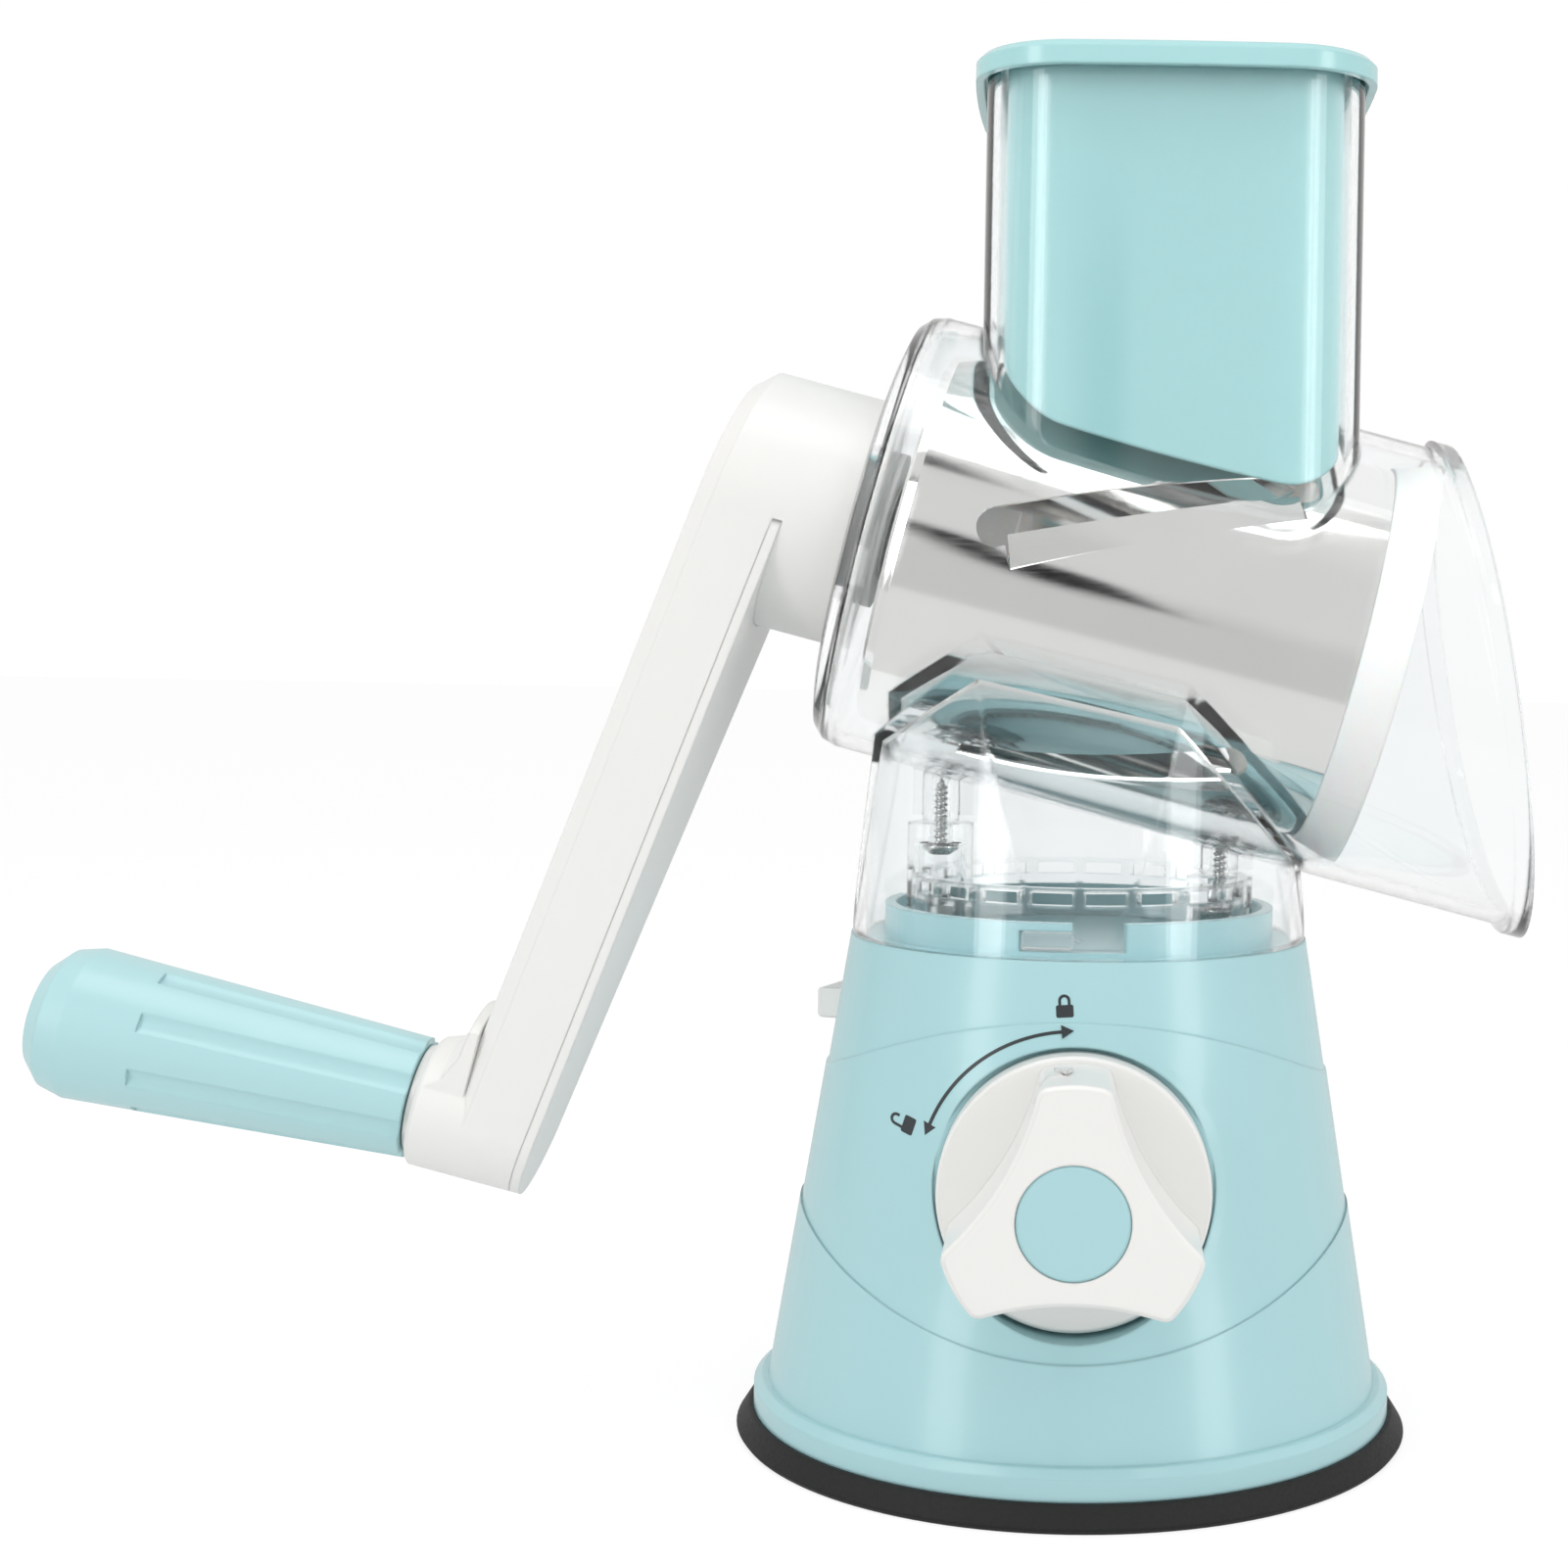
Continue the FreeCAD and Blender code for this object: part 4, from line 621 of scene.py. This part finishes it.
def makeWorld():
    # White for what the camera sees. Reflections get a studio: a pale room, a slightly
    # darker level band, and dark flags that give polished steel its contrast
    look = stageLook
    world = bpy.data.worlds.new("studio")
    bpy.context.scene.world = world
    world.use_nodes = True
    world.node_tree.nodes.clear()
    tree = Nodes(world.node_tree)
    place = tree.add("ShaderNodeTexCoord")
    parts = tree.add("ShaderNodeSeparateXYZ")
    tree.link(place.outputs["Generated"], parts.inputs["Vector"])
    side, depth, rise = parts.outputs
    lift = tree.maths("DEGREES", tree.maths("ARCTAN2", rise, tree.maths("MULTIPLY", depth, -1.0)))
    turned = tree.add("ShaderNodeMapRange", From_Min=-180, From_Max=180)
    tree.link(lift, turned.inputs["Value"])
    room = tree.add("ShaderNodeValToRGB")
    while len(room.color_ramp.elements) < len(look["room"]):
        room.color_ramp.elements.new(0.5)
    for element, (degrees, value) in zip(room.color_ramp.elements, look["room"]):
        element.position = (degrees + 180) / 360
        element.color = (*(value * share for share in look["roomTone"]), 1)
    tree.link(turned.outputs["Result"], room.inputs["Fac"])
    flagged = tree.add("ShaderNodeMix", data_type="RGBA")
    factorIn, colourA, colourB, colourOut = 0, 6, 7, 2   # a colour Mix's own sockets
    tree.link(studioFlags(tree, lift, side), flagged.inputs[factorIn])
    tree.link(room.outputs["Color"], flagged.inputs[colourA])
    flagged.inputs[colourB].default_value = grey(look["flagShade"])
    studio = tree.add("ShaderNodeBackground", Strength=look["worldStrength"])
    tree.link(flagged.outputs[colourOut], studio.inputs["Color"])
    plain = tree.add("ShaderNodeBackground", Color=grey(1))
    path = tree.add("ShaderNodeLightPath")
    behind = tree.maths("GREATER_THAN", depth, 0.0)
    through = tree.maths("MULTIPLY", path.outputs["Is Transmission Ray"], behind)
    seen = tree.maths("MAXIMUM", path.outputs["Is Camera Ray"], through)
    output = tree.add("ShaderNodeOutputWorld")
    sky = tree.mixShaders(seen, studio.outputs["Background"], plain.outputs["Background"])
    tree.link(sky, output.inputs["Surface"])


sideBox = {"aim": (0, 0, 0.14), "size": (0.28, 1.1), "power": 3.2}
lamps = [
    dict(sideBox, name="leftBox", place=(-0.75, -0.75, 0.32)),
    dict(sideBox, name="rightBox", place=(0.85, -0.65, 0.32)),
    {
        "name": "topBox", "place": (-0.1, -0.25, 1.0), "aim": (0, 0, 0.15), "size": (0.9, 0.5),
        "power": 2.5,
    },
]


def makeLamps():
    for lamp in lamps:
        data = bpy.data.lights.new(lamp["name"], "AREA")
        data.shape = "RECTANGLE"
        data.size, data.size_y = lamp["size"]
        data.energy = lamp["power"]
        holder = bpy.data.objects.new(lamp["name"], data)
        bpy.context.scene.collection.objects.link(holder)
        place = Vector(lamp["place"])
        facing = (place - Vector(lamp["aim"])).to_track_quat("Z", "Y")
        holder.matrix_world = Matrix.Translation(place) @ facing.to_matrix().to_4x4()


def makeCamera():
    look = stageLook
    size = look["photoSize"]
    data = bpy.data.cameras.new("camera")
    data.sensor_fit = "HORIZONTAL"
    data.sensor_width = look["sensorWidth"]
    data.lens = look["focalPixels"] / size * data.sensor_width
    data.shift_x = 0.5 - look["axisPoint"][0] / size
    data.shift_y = look["axisPoint"][1] / size - 0.5
    data.clip_start, data.clip_end = look["clip"]
    camera = bpy.data.objects.new("camera", data)
    bpy.context.scene.collection.objects.link(camera)
    turn = Euler((math.pi / 2, -math.radians(look["cameraRoll"]), 0))
    camera.matrix_world = Matrix.Translation(look["cameraPlace"]) @ turn.to_matrix().to_4x4()
    bpy.context.scene.camera = camera


makeFloor()
makeWorld()
makeLamps()
makeCamera()
bpy.context.scene.view_settings.view_transform = "Standard"
print("stage done")
